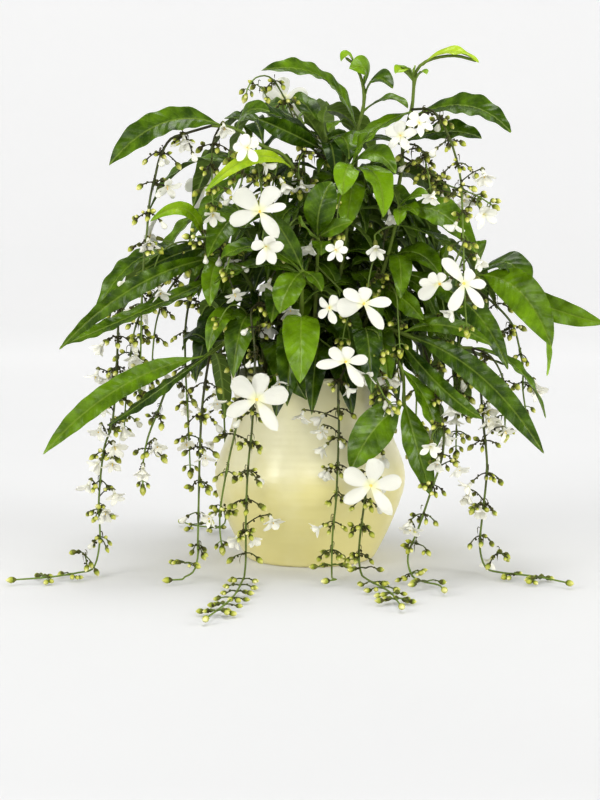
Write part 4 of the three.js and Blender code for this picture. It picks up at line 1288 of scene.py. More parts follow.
# Leafy stems: name, foot, path, and leaves. A leaf is where it leaves the stem, its crown, its tip, its width,
# how far it is rolled, and its brightness
STEMS = [
    ("crown", (12, 8),
     [(25, 256, 5), (38, 336, 0), (45, 376, -5), (47, 421, -8), (53, 446, -8), (54, 466, -8), (47, 488, -10),
      (37, 497, -12)],
     [(47, 423, 14, 477, -20, -49, 485, -45, 27, 40, 0.3), (47, 422, 31, 434, -14, 18, 424, -34, 15, 30, 0.5),
      (55, 444, 78, 457, -14, 98, 447, -28, 18, 40, 0.35), (54, 460, 66, 477, -14, 83, 467, -30, 24, 40, 0.4),
      (53, 468, 55, 487, -14, 39, 487, -24, 24, 50, 0.7),
      (46, 489, 38, 502, -12, 31, 494, -16, 10, 40, 1.0)]),
    ("centre_left", (-8, 4),
     [(2, 250, 2), (12, 316, -5), (15, 371, -12), (15, 401, -14), (16, 418, -15)],
     [(16, 418, 13, 436, -20, 17, 449, -32, 15, 20, 0.6), (15, 412, 2, 432, -30, -8, 444, -44, 22, 40, 0.45),
      (13, 408, -20, 434, -35, -56, 445, -60, 27, 45, 0.25),
      (12, 405, -22, 424, -52, -52, 437, -78, 20, 50, 0.3),
      (11, 398, -40, 430, -14, -86, 437, -26, 24, 50, 0.3),
      (18, 412, 33, 418, -30, 39, 396, -52, 30, 40, 0.4), (15, 414, -6, 452, 12, -24, 446, 24, 24, 40, 0.3)]),
    ("left_arch", (-25, -12),
     [(-12, 260, -18), (4, 330, -38), (-20, 393, -60), (-48, 410, -75), (-75, 427, -85), (-98, 430, -92)],
     [(-85, 432, -145, 433, -110, -201, 390, -130, 28, 55, 0.25),
      (-74, 426, -62, 444, -96, -40, 444, -112, 22, 40, 0.35)]),
    ("top_right", (19, 15),
     [(52, 262, 6), (77, 325, -2), (90, 376, -10), (94, 416, -14), (102, 448, -16), (104, 470, -18),
      (107, 486, -20), (120, 496, -22), (144, 500, -26), (166, 495, -30)],
     [(99, 436, 155, 450, -40, 201, 423, -66, 28, 50, 0.3),
      (95, 414, 135, 424, -34, 172, 417, -54, 26, 50, 0.35),
      (101, 444, 68, 428, -30, 42, 404, -46, 24, 45, 0.4),
      (105, 478, 95, 487, -25, 85, 482, -34, 15, 40, 0.8),
      (105, 476, 112, 484, -24, 117, 481, -32, 10, 40, 0.9)]),
    ("front_apex", (2, -20),
     [(5, 240, -40), (7, 285, -68), (8, 318, -95)],
     [(8, 318, 10, 348, -118, 22, 374, -108, 34, 15, 0.3),
      (8, 318, 25, 328, -110, 43, 334, -120, 17, 30, 0.45),
      (8, 316, -5, 330, -110, -9, 340, -122, 16, 30, 0.45),
      (8, 314, 11, 312, -114, 11, 300, -128, 20, 10, 0.5)]),
    ("front_star", (14, -8),
     [(28, 265, -28), (38, 335, -48), (42, 391, -62)],
     [(42, 391, 50, 408, -76, 63, 422, -92, 22, 35, 0.55), (42, 390, 36, 384, -86, 32, 360, -98, 24, 20, 0.6),
      (42, 391, 64, 402, -76, 86, 382, -92, 24, 40, 0.5),
      (42, 386, 66, 380, -82, 73, 338, -104, 28, 30, 0.65),
      (41, 374, 41, 362, -76, 35, 326, -92, 26, 15, 0.5)]),
    ("right_star", (30, -14),
     [(58, 240, -34), (78, 300, -55), (90, 350, -66)],
     [(90, 350, 104, 360, -76, 119, 358, -88, 17, 40, 0.5),
      (90, 350, 84, 364, -74, 76, 374, -84, 17, 30, 0.45),
      (90, 348, 100, 348, -80, 108, 340, -92, 15, 35, 0.45),
      (90, 346, 90, 343, -84, 88, 330, -94, 13, 10, 0.5),
      (87, 340, 128, 344, -84, 166, 303, -104, 30, 50, 0.35),
      (85, 332, 122, 320, -66, 160, 293, -84, 27, 50, 0.3)]),
    ("right_mid", (24, -2),
     [(48, 235, -14), (72, 272, -32), (84, 302, -42)],
     [(84, 301, 90, 292, -66, 90, 257, -80, 22, 5, 0.4), (83, 298, 108, 302, -50, 131, 279, -64, 26, 50, 0.4),
      (78, 284, 152, 256, -80, 198, 186, -98, 24, 50, 0.3),
      (70, 270, 92, 258, -72, 114, 236, -88, 22, 40, 0.35),
      (76, 280, 110, 268, -52, 129, 229, -62, 16, 40, 0.4)]),
    ("right_low", (36, -20),
     [(64, 224, -52), (88, 224, -66), (112, 214, -76), (140, 208, -82), (162, 208, -86)],
     [(92, 224, 136, 230, -92, 182, 210, -108, 20, 50, 0.35),
      (96, 222, 170, 180, -116, 234, 102, -136, 30, 50, 0.35),
      (150, 208, 204, 190, -92, 236, 137, -118, 22, 50, 0.4),
      (84, 224, 130, 170, -98, 173, 137, -114, 21, 45, 0.35),
      (82, 224, 134, 212, -66, 196, 190, -76, 24, 50, 0.3)]),
    ("right_far", (43, -6),
     [(62, 238, 0), (95, 274, -8), (130, 281, -14), (172, 280, -22)],
     [(166, 280, 199, 292, -30, 216, 262, -48, 34, 45, 0.35),
      (169, 280, 210, 264, -62, 242, 209, -88, 36, 50, 0.6),
      (172, 280, 230, 252, -34, 295, 232, -42, 25, 60, 0.7),
      (160, 281, 224, 246, -40, 237, 179, -72, 13, 50, 0.9)]),
    ("left_mid", (-36, -4),
     [(-48, 238, -14), (-62, 276, -28), (-84, 300, -40), (-105, 308, -48)],
     [(-97, 306, -126, 304, -56, -174, 282, -70, 23, 50, 0.3),
      (-92, 303, -124, 292, -36, -163, 279, -44, 16, 50, 0.3),
      (-84, 300, -170, 272, -120, -251, 206, -142, 27, 50, 0.35),
      (-72, 288, -168, 244, -112, -248, 210, -122, 25, 50, 0.3),
      (-86, 300, -97, 284, -78, -100, 249, -92, 28, 15, 0.5),
      (-90, 302, -108, 297, -62, -115, 280, -70, 20, 35, 0.4)]),
    ("left_low", (-34, -22),
     [(-50, 226, -50), (-72, 222, -68), (-94, 206, -82), (-110, 196, -90)],
     [(-60, 226, -86, 240, -88, -102, 203, -104, 25, 35, 0.4),
      (-98, 204, -124, 212, -98, -144, 186, -108, 18, 45, 0.4),
      (-104, 200, -190, 168, -126, -267, 101, -152, 28, 50, 0.4),
      (-86, 212, -154, 164, -138, -202, 130, -148, 18, 50, 0.3)]),
    ("centre_low", (-6, -34),
     [(-9, 226, -62), (-8, 258, -86), (-7, 285, -100)],
     [(-7, 285, -22, 316, -108, -41, 343, -104, 18, 35, 0.4),
      (-7, 284, -20, 270, -122, -30, 242, -134, 28, 15, 0.5),
      (-7, 283, -50, 308, -96, -90, 296, -104, 26, 45, 0.3),
      (-7, 281, -52, 290, -92, -96, 272, -98, 26, 45, 0.3),
      (-7, 284, 4, 278, -112, 12, 264, -122, 14, 30, 0.45),
      (-9, 240, -9, 226, -112, -10, 172, -128, 35, 2, 0.75),
      (-10, 232, -20, 200, -98, -3, 156, -110, 27, 10, 0.25)]),
    ("front_right_low", (22, -34),
     [(50, 214, -68), (74, 208, -88), (92, 186, -102), (94, 150, -108)],
     [(90, 190, 117, 152, -112, 125, 106, -118, 29, 20, 0.35),
      (94, 156, 106, 112, -122, 121, 60, -126, 26, 20, 0.4),
      (94, 152, 64, 126, -134, 41, 86, -142, 36, 40, 0.45)]),
]

# Small young leaves that the solids leave out, each with its stem
SMALL_LEAVES = [
    ("left_arch", (-16, 392, -58, 398, -104, -105, 364, -116, 13, 50, 1.08)),
    ("left_mid", (-104, 308, -124, 346, -96, -160, 334, -108, 13, 55, 0.8)),
    ("top_right", (112, 491, 140, 504, -26, 169, 493, -34, 15, 35, 1.3)),
    ("top_right", (104, 474, 97, 484, -24, 92, 489, -30, 10, 30, 1.1)),
    ("top_right", (104, 474, 104, 484, -22, 106, 490, -26, 9, 30, 1.2)),
]

# Stems of the far side: azimuth, reach, height and leaf pairs. Then the shares of its reach and its rise that
# a stem passes through
FAR_STEMS = [
    (24, 84, 300, 2), (50, 62, 374, 3), (75, 106, 322, 3), (100, 50, 438, 3),
    (124, 108, 330, 3), (146, 58, 386, 3), (168, 86, 292, 2),
]
FAR_STEM_RISE = ((0.52, 0.42), (0.8, 0.86))
FAR_STEM_STEPS = 9
FAR_ROOT_RADIUS = 34
FAR_LEAF_LENGTH = (104, 138)
FAR_LEAF_WIDTH = (26, 34)

# Inner leaves, which hide the foot of each stem
INNER_TRIES = 8
INNER_POINTS = 12
INNER_SHARES = (0.37, 0.5)
FAR_INNER_SHARES = (0.42,)
INNER_LENGTH = (74, 108)
INNER_WIDTH = (24, 32)
INNER_SHIFT = 20
INNER_TURN = 0.35
INNER_SPREAD = 60

# Flower chains: name, stem, where it leaves the stem, the length that lies on the surface, the azimuth that
# this lies towards, and its path
CHAINS = [
    ("left_outer", "left_arch", (-98, 430), 0, 0,
     [(-125, 422, -98), (-140, 416, -100), (-150, 398, -101), (-155, 378, -102), (-160, 356, -103),
      (-163, 324, -103), (-166, 294, -102), (-168, 256, -100), (-169, 216, -98), (-170, 160, -96)]),
    ("left_long", "left_mid", (-105, 308), 88, 214,
     [(-140, 296, -60), (-176, 272, -84), (-190, 246, -90), (-192, 216, -92), (-194, 171, -94),
      (-198, 131, -96), (-206, 106, -98), (-211, 56, -100), (-210, 16, -100)]),
    ("left_inner", "left_low", (-106, 198), 0, 0,
     [(-126, 186, -96), (-141, 171, -98), (-152, 144, -100), (-162, 118, -101), (-167, 91, -102),
      (-167, 69, -102)]),
    ("front_left", "left_low", (-100, 202), 40, 238,
     [(-104, 178, -96), (-108, 146, -108), (-110, 106, -113), (-111, 64, -115), (-112, 16, -116),
      (-112, 0, -116)]),
    ("front_left_short", "left_low", (-70, 222), 0, 0,
     [(-64, 182, -94), (-72, 136, -112), (-81, 96, -116), (-89, 51, -118), (-90, 26, -118), (-88, 9, -118)]),
    ("front_long", "centre_low", (-9, 226), 186, 262,
     [(-38, 250, -84), (-58, 246, -94), (-55, 206, -108), (-56, 166, -116), (-58, 126, -120), (-62, 86, -122),
      (-64, 36, -124), (-64, 0, -125)]),
    ("front_mid", "front_right_low", (50, 214), 34, 268,
     [(40, 196, -88), (29, 171, -102), (29, 131, -112), (28, 96, -116), (26, 54, -118), (23, 26, -118),
      (22, 4, -118)]),
    ("front_right", "front_right_low", (70, 210), 142, 284,
     [(76, 186, -98), (74, 150, -116), (62, 104, -120), (55, 56, -121), (51, 26, -122), (49, 2, -122)]),
    ("right_low", "right_low", (112, 214), 62, 300,
     [(121, 184, -94), (131, 144, -112), (134, 119, -122), (131, 94, -132), (121, 64, -138), (108, 26, -138),
      (98, 0, -136)]),
    ("right_long", "right_low", (162, 208), 96, 322,
     [(169, 191, -88), (171, 166, -92), (173, 136, -95), (177, 96, -98), (176, 71, -99), (172, 36, -100),
      (170, 8, -100)]),
    ("right_upper", "top_right", (102, 446), 0, 0,
     [(120, 446, -46), (131, 435, -62), (142, 411, -80), (150, 381, -98), (152, 356, -116), (153, 326, -126),
      (154, 294, -128), (155, 256, -128), (157, 226, -126)]),
    ("right_short", "right_far", (146, 281), 0, 0,
     [(160, 270, -34), (182, 254, -44), (202, 232, -46), (209, 210, -46), (213, 188, -46), (213, 166, -46),
      (216, 144, -46)]),
]

# Small sprays: name, stem, where it leaves the stem, and its path
SPRAYS = [
    ("left_short", "left_arch", (-90, 429),
     [(-96, 417, -90), (-98, 400, -94), (-98, 381, -96), (-97, 349, -97)]),
    ("left_short_inner", "left_arch", (-64, 420),
     [(-65, 408, -92), (-65, 396, -94), (-68, 375, -95), (-74, 355, -95), (-68, 340, -95)]),
    ("right_reach", "top_right", (92, 400),
     [(102, 394, -26), (115, 386, -40), (137, 371, -58), (165, 361, -72), (183, 350, -84)]),
    ("right_inner", "right_low", (140, 208),
     [(146, 196, -94), (147, 176, -80), (147, 150, -80), (146, 104, -82)]),
    ("centre_buds", "front_right_low", (60, 212),
     [(62, 196, -106), (66, 178, -120), (74, 160, -130), (84, 148, -134)]),
    ("top_left", "centre_left", (14, 404),
     [(-10, 424, -4), (-23, 453, -8), (-38, 477, -16), (-52, 479, -24), (-61, 470, -30), (-64, 461, -31)]),
    ("left_drop", "left_arch", (-38, 404), [(-43, 394, -80), (-47, 378, -84), (-49, 357, -85)]),
    ("centre_drop", "centre_left", (15, 400), [(-4, 404, -46), (-11, 391, -58), (-10, 364, -62)]),
    ("right_drop", "top_right", (94, 412), [(110, 408, -34), (117, 388, -54), (121, 362, -62)]),
    ("left_reach", "left_mid", (-84, 300), [(-86, 310, -66), (-100, 318, -86), (-120, 319, -98)]),
]

# Small twigs of buds within the crown, which the solids leave out: name, stem, where it leaves the stem, path
TWIGS = [
    ("star", "front_star", (40, 376), [(33, 366, -84), (28, 346, -92), (27, 318, -96)]),
    ("middle", "right_star", (78, 300), [(66, 300, -78), (60, 282, -84), (57, 258, -86)]),
    ("above_rim", "right_mid", (58, 252), [(46, 252, -74), (37, 236, -88), (32, 212, -96)]),
    ("drops", "right_mid", (76, 278), [(86, 262, -96), (88, 240, -104), (90, 206, -108)]),
    ("drops_inner", "front_right_low", (50, 214), [(56, 226, -96), (68, 222, -110), (72, 200, -118)]),
    ("centre", "centre_left", (12, 340), [(-12, 338, -72), (-24, 322, -80), (-28, 296, -84)]),
    ("left", "left_mid", (-70, 286), [(-66, 300, -84), (-78, 302, -94), (-84, 282, -98)]),
    ("left_rim", "left_low", (-56, 224), [(-66, 246, -84), (-80, 250, -92), (-92, 232, -96)]),
    ("right", "right_far", (118, 280), [(130, 264, -66), (135, 240, -78), (136, 212, -84)]),
    ("left_side", "left_mid", (-98, 306), [(-126, 314, -72), (-148, 304, -82), (-158, 280, -86)]),
]

# Thin short chains that hang behind the others and that the solids leave out too, in the same form
HANGERS = [
    ("left_behind", "left_mid", (-105, 308),
     [(-150, 268, -74), (-172, 236, -80), (-180, 196, -84), (-184, 156, -86), (-186, 124, -88)]),
    ("left_between", "left_mid", (-105, 308),
     [(-138, 270, -62), (-152, 240, -66), (-157, 206, -70), (-158, 172, -72)]),
    ("right_behind", "right_low", (162, 208),
     [(180, 200, -84), (192, 180, -88), (195, 156, -90), (195, 122, -90)]),
]
HANGER_SPACING = 25
TWIG_SPACING = 36
TWIG_REACH = 0.72

# Where small flowers show on the chains, right and up of the plant's foot
FLOWERETS = {
    "left_outer": ((-142, 365), (-161, 310), (-149, 260), (-125, 411), (-175, 196)),
    "left_long": ((-215, 176), (-202, 173), (-208, 146), (-212, 122), (-185, 123), (-194, 105), (-224, 66),
                  (-194, 58), (-204, 40)),
    "left_inner": ((-152, 107), (-167, 83)), "front_left": ((-104, 96), (-92, 150)),
    "front_long": ((-30, 170), (-36, 31)), "front_mid": ((10, 122), (16, 81), (-10, 136)),
    "front_right": ((79, 147),), "right_low": ((100, 24), (150, 84)),
    "right_long": ((170, 43), (185, 128), (197, 121), (157, 57), (180, 144)),
    "right_upper": ((175, 377), (170, 293), (122, 356)), "right_short": ((227, 167),),
    "left_short": ((-97, 338), (-85, 425)), "left_drop": ((-25, 368),), "centre_drop": ((-8, 366),),
    "twig_left": ((-74, 258),), "twig_centre": ((-43, 269), (-19, 243)), "twig_star": ((-1, 306),),
    "twig_middle": ((81, 337),), "twig_drops": ((85, 175),),
}

# Chains of the far side: far stem, height of the hanging part's foot, and length that lies on the surface
FAR_HANG_RADIUS = 122
FAR_CHAIN_START = 0.985
FIRST_CHAIN_SEED = 8
FAR_CHAINS = [(0, 92, 0), (1, 40, 0), (2, 26, 104), (4, 26, 70), (6, 84, 0)]

# Blooms: what carries it, where its stalk leaves that, its place, size, yaw, pitch and spin
BLOOMS = [
    ("chain front_long", (-56, 176), (-53, 156, -142), 60, -8, 8, 12),
    ("chain front_right", (64, 110), (61, 70, -148), 58, 6, 4, 30),
    ("stem left_arch", (-56, 414), (-50, 344, -128), 58, -10, 22, 50),
    ("stem left_arch", (-30, 400), (-44, 316, -140), 36, 12, -24, 20),
    ("stem front_apex", (7, 290), (54, 252, -150), 50, 10, 10, 8),
    ("stem centre_low", (-9, 230), (36, 194, -152), 46, -6, 2, 66),
    ("chain right_upper", (154, 300), (154, 272, -156), 54, 14, 8, 40),
    ("chain right_upper", (154, 312), (128, 271, -150), 42, -20, -6, 10),
    ("stem right_star", (84, 330), (66, 308, -112), 25, 6, -50, 0),
    ("stem front_apex", (8, 310), (26, 306, -134), 24, 14, -20, 24),
    ("stem front_apex", (6, 264), (20, 248, -136), 30, -30, -6, 40),
    ("stem top_right", (94, 410), (91, 420, -66), 32, -12, 10, 20),
    ("stem top_right", (100, 440), (107, 430, -62), 28, 16, 20, 60),
    ("chain right_low", (132, 130), (121, 110, -146), 24, -8, -30, 36),
    ("chain left_short_inner", (-66, 404), (-62, 408, -116), 30, -14, 6, 10),
    ("chain right_reach", (170, 358), (174, 342, -104), 28, 20, -30, 0),
]
# Blooms of the far side: far stem, share of the stem, out from it, above it, and size
FAR_BLOOMS = [(2, 0.82, 46, 14, 54), (3, 0.9, 40, 16, 52), (4, 0.84, 52, 20, 50), (6, 0.86, 40, 8, 42)]
# How far a bloom may be moved out of the way: along its face, and up
BLOOM_SHIFTS = [
    (0, 0), (6, 0), (-6, 0), (12, 0), (18, 0), (0, 6), (0, -6), (12, 6), (12, -6), (-12, 0), (24, 0), (30, 0),
    (24, 8), (24, -8), (0, 12), (0, -12), (36, 0), (36, 12), (36, -12),
]
# How far a pair of arms may be turned round its chain
PAIR_TURNS = (0, 24, -24, 48, -48, 72, -72, 90)


@dataclass
class Pot:
    """The glazed pot: a foot, a round belly, a straight neck and a rolled lip."""

    sides: int = 128
    rows: int = 96
    softening: int = 16
    softness: float = 10.5
    ring_height: float = 0.1
    ring_spacing: float = 6.5
    ring_wander: tuple = (23.0, 1.2)
    ridge_at: float = 60.0
    ridge_size: tuple = (1.6, 0.45)
    wobble: float = 0.0018
    foot: tuple = (
        (0, 1.2), (52, 1.2), (55, 0.4), (57, 0), (60.5, 0), (62.6, 0.3), (64.2, 1.2), (65.4, 2.4),
    )
    floor: tuple = (0, 9)

    def outline(self) -> np.ndarray:
        """Rows of radius and height, from the middle of the foot, up the outside and down inside.

        Returns:
            The rows.
        """
        outside = SmoothCurve(POT_OUTSIDE).along(np.linspace(0, 1, self.rows))
        # The solid's outline turns in short arcs. A thrown belly turns more slowly
        weights = np.exp(-((np.arange(-self.softening, self.softening + 1) / self.softness) ** 2))
        beyond = np.pad(outside[:, 0], self.softening, mode="reflect", reflect_type="odd")
        outside[:, 0] = np.convolve(beyond, weights / weights.sum(), "valid")
        height = outside[:, 1]
        fade = np.clip((height - 8) / 12, 0, 1) * np.clip((182 - height) / 10, 0, 1)
        wander = np.sin(height / self.ring_wander[0]) * self.ring_wander[1]
        rings = self.ring_height * np.sin(2 * math.pi * height / self.ring_spacing + wander)
        ridge = -self.ridge_size[1] * np.exp(-(((height - self.ridge_at) / self.ridge_size[0]) ** 2))
        outside[:, 0] += fade * (rings + ridge) - 0.1
        inside = SmoothCurve([[74.7, 184.4], *POT_INSIDE]).along(np.linspace(0, 1, 26))[1:]
        return np.vstack([self.foot, outside, POT_LIP, inside, self.floor])

    def build(self) -> bpy.types.Object:
        """Turns the outline round the upright and adds the pot.

        Returns:
            The new piece.
        """
        line = self.outline()
        angles = turns(self.sides)
        circle = np.stack([np.cos(angles), np.sin(angles), 0 * angles], 1)
        rings = []
        for radius, height in line:
            # A thrown pot is never quite round
            wobble = 1 + self.wobble * np.sin(2 * angles + height / 60) * (radius > 1)
            ring = circle * (radius * wobble)[:, None] + UP * height
            rings.append(ring if radius > 0 else np.array([[0.0, 0.0, height]]))
        skin = Skin()
        skin.loft(rings, Look.GLAZE, [np.zeros((len(ring), 3)) for ring in rings])
        return skin.piece("glazed_pot", "pot", ["pot"])


@dataclass
class Soil:
    """Potting soil: a low crumbly dome with loose crumbs and bark chips on it."""

    rings: int = 28
    sides: int = 88
    crumbs: int = 400
    bottom: tuple = ((60, 131), (72.6, 131), (67.6, 146))
    crumb: tuple = ((-0.6, 0), (-0.5, 0.6), (-0.1, 1), (0.3, 0.8), (0.6, 0.5), (0.8, 0))

    def height(self, x: np.ndarray, y: np.ndarray) -> np.ndarray:
        """The dome's height at places on it, with its clods.

        Args:
            x: how far right each place is.
            y: how far back each place is.

        Returns:
            The heights.
        """
        radius = np.hypot(x, y) / SOIL_RADIUS
        dome = mix(SOIL_CROWN - 1.5, SOIL_EDGE, np.clip(radius, 0, 1) ** 2)
        clods = (
            np.sin(x / 3.1 + 1.3 * np.sin(y / 4.3)) * np.cos(y / 2.7 + np.sin(x / 5.1))
            + 0.6 * np.sin(x / 1.3 + y / 1.9) * np.sin(y / 1.2 - x / 2.3)
        )
        return dome + 0.75 * clods * np.clip((1 - radius) * 12, 0.1, 1)

    def build(self) -> bpy.types.Object:
        """Adds the soil.

        Returns:
            The new piece.
        """
        skin = Skin()
        angles = turns(self.sides)
        rings = [np.array([[0.0, 0.0, self.bottom[0][1]]])]
        for radius, height in self.bottom:
            rings.append(np.stack([radius * np.cos(angles), radius * np.sin(angles), 0 * angles + height], 1))
        for share in np.linspace(1, 0, self.rings)[:-1]:
            x, y = SOIL_RADIUS * share * np.cos(angles), SOIL_RADIUS * share * np.sin(angles)
            rings.append(np.stack([x, y, self.height(x, y)], 1))
        rings.append(np.array([[0.0, 0.0, float(self.height(np.zeros(1), np.zeros(1))[0])]]))
        skin.loft(rings, Look.SOIL, [np.zeros((len(ring), 3)) for ring in rings])
        chance = Chance(5)
        for _ in range(self.crumbs):
            place = around(chance.between(0, 360), 65 * math.sqrt(chance.draw()), 0)
            size = chance.between(0.8, 2.6)
            place[2] = float(self.height(place[:1], place[1:2])[0]) - size * 0.3
            tilt = unit(np.array([chance.either_way(1), chance.either_way(1), chance.between(0.2, 1)]))
            skin.spindle(place, tilt, self.crumb, (size * chance.between(1, 2.2), size), 6, Look.SOIL, 0.5)
        return skin.piece("potting_soil", "soil", ["soil"])


@dataclass
class LeafyStem:
    """A stem with its leaves in pairs: its name, the line it grows along, the points of its solid.

    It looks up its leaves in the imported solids, and keeps a crowd of the leaves that have grown so far.
    """

    name: str
    curve: SmoothCurve
    points: np.ndarray
    solids: PackedSolids
    crowd: Crowd
    fill_step: float = 19.0
    fill_tries: int = 11
    fill_gap: float = 3.2
    fill_nearest: float = -62.0
    fill_highest: float = 418.0
    open_above: float = 318.0
    crown_reach: float = 72.0
    fill_turn: float = 50.0
    fill_length: tuple = (44, 82)
    fill_width: tuple = (0.26, 0.34)
    fill_rise: float = 0.16
    fill_droop: tuple = (0.15, 0.6)
    bark_step: float = 7.0
    knot_reach: float = 4.0
    knot_height: tuple = (0.5, 0.8)

    def __post_init__(self) -> None:
        """Starts its skin and its draws, and takes its place."""
        self.node = f"leafy_stem_{self.name}"
        self.skin = Skin()
        self.chance = Chance(sum(map(ord, self.name)))
        self.leaves = LeafMaker(self.skin, self.chance)
        self.bases: list[Point] = []
        self.crowd.take(self.curve.along(np.linspace(0.35, 1, 24)))

    def add_leaf(self, blade: Blade) -> bool:
        """Grows a leaf where its solid is, and takes note of its knot.

        Args:
            blade: the leaf before any bend.

        Returns:
            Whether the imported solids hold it.
        """
        for bend in LEAF_BENDS:
            placed = blade.bent(bend)
            if self.solids.holds(self.node, placed.to):
                self.grow_leaf(placed)
                self.bases.append(placed.base)
                return True
        return False

    def in_the_open(self, tip: Point) -> bool:
        """Whether a tip shows beside the crown's upper part, where only sprays and chains hang."""
        right, up = np.subtract(sheet_place(tip), SHEET_ZERO)
        return bool(up > self.open_above and abs(right + 8) > self.crown_reach)

    def fill(self) -> int:
        """Grows smaller leaves in pairs along the stem, where there is room.

        Returns:
            How many leaves have grown.
        """
        chance, grown = self.chance, 0
        count = int(self.curve.length / self.fill_step)
        for index in range(count):
            share = (index + chance.draw()) / count
            base = self.curve.along(share)[0]
            if not STEM_THROAT + 8 < base[2] < self.fill_highest:
                continue
            ahead = self.curve.ahead(share)
            side = unit(np.cross(ahead, RIGHT if index % 2 else VIEWER_SIDE))
            for sign in (-1, 1):
                for _ in range(self.fill_tries):
                    turn = math.radians(chance.either_way(self.fill_turn))
                    out = unit(side * sign * math.cos(turn) + np.cross(ahead, side) * math.sin(turn))
                    length = chance.between(*self.fill_length)
                    over = base + out * length * 0.5 + UP * length * chance.between(0, self.fill_rise)
                    to = base + out * length * 0.82 - UP * length * chance.between(*self.fill_droop)
                    width = length * chance.between(*self.fill_width)
                    blade = Blade(base, over, to, width, chance.between(-30, 45), chance.between(0.05, 0.4))
                    points = self.leaves.sketch(blade)
                    if self.in_the_open(to) or to[1] < self.fill_nearest:
                        continue
                    if self.crowd.room(points[2:]) > self.fill_gap:
                        self.leaves.grow(blade, PLAIN_GRAIN)
                        self.crowd.take(points)
                        self.bases.append(base)
                        grown += 1
                        break
        return grown

    def grow_leaf(self, blade: Blade) -> None:
        """Grows a leaf where it stands, whether the solids hold it or not."""
        self.leaves.grow(blade)
        self.crowd.take(self.leaves.sketch(blade))

    def build(self) -> bpy.types.Object:
        """Adds the stem's own bark, with a knot at each leaf, and makes the piece.

        Returns:
            The new piece.
        """
        steps = max(12, round(self.curve.length / self.bark_step))
        shares = np.linspace(0, 1, steps)
        points = self.curve.along(shares)
        height, highest = self.knot_height
        radii = []
        for share, point in zip(shares, points):
            off = [math.dist(point, base) / self.knot_reach for base in self.bases]
            knot = sum(height * math.exp(-(distance**2)) for distance in off)
            radii.append(mix(*STEM_RADIUS, share) * 0.95 + min(knot, highest))
        tip = points[-1] + self.curve.ahead(1) * 2.5
        self.skin.tube(np.vstack([points, tip]), [*radii, 0], 8, Look.BARK, np.append(shares, 1))
        return self.skin.piece(f"stem_and_leaves_{self.name}", "leaf", [self.node])


class Pose(Enum):
    """How an arm with its bud is held: its line, then the way of its bud, both as out and up."""

    ARCHED = (((0, 0.05), (0.2, 0.05), (0.42, -0.04), (0.62, -0.17)), (0.25, -0.24))
    DROOPING = (((0, 0.03), (0.24, 0.02), (0.5, -0.14), (0.72, -0.36)), (0.16, -0.24))
    LYING = (((0, 0), (0.25, 0.06), (0.5, 0), (0.66, -0.06)), (0.34, -0.03))


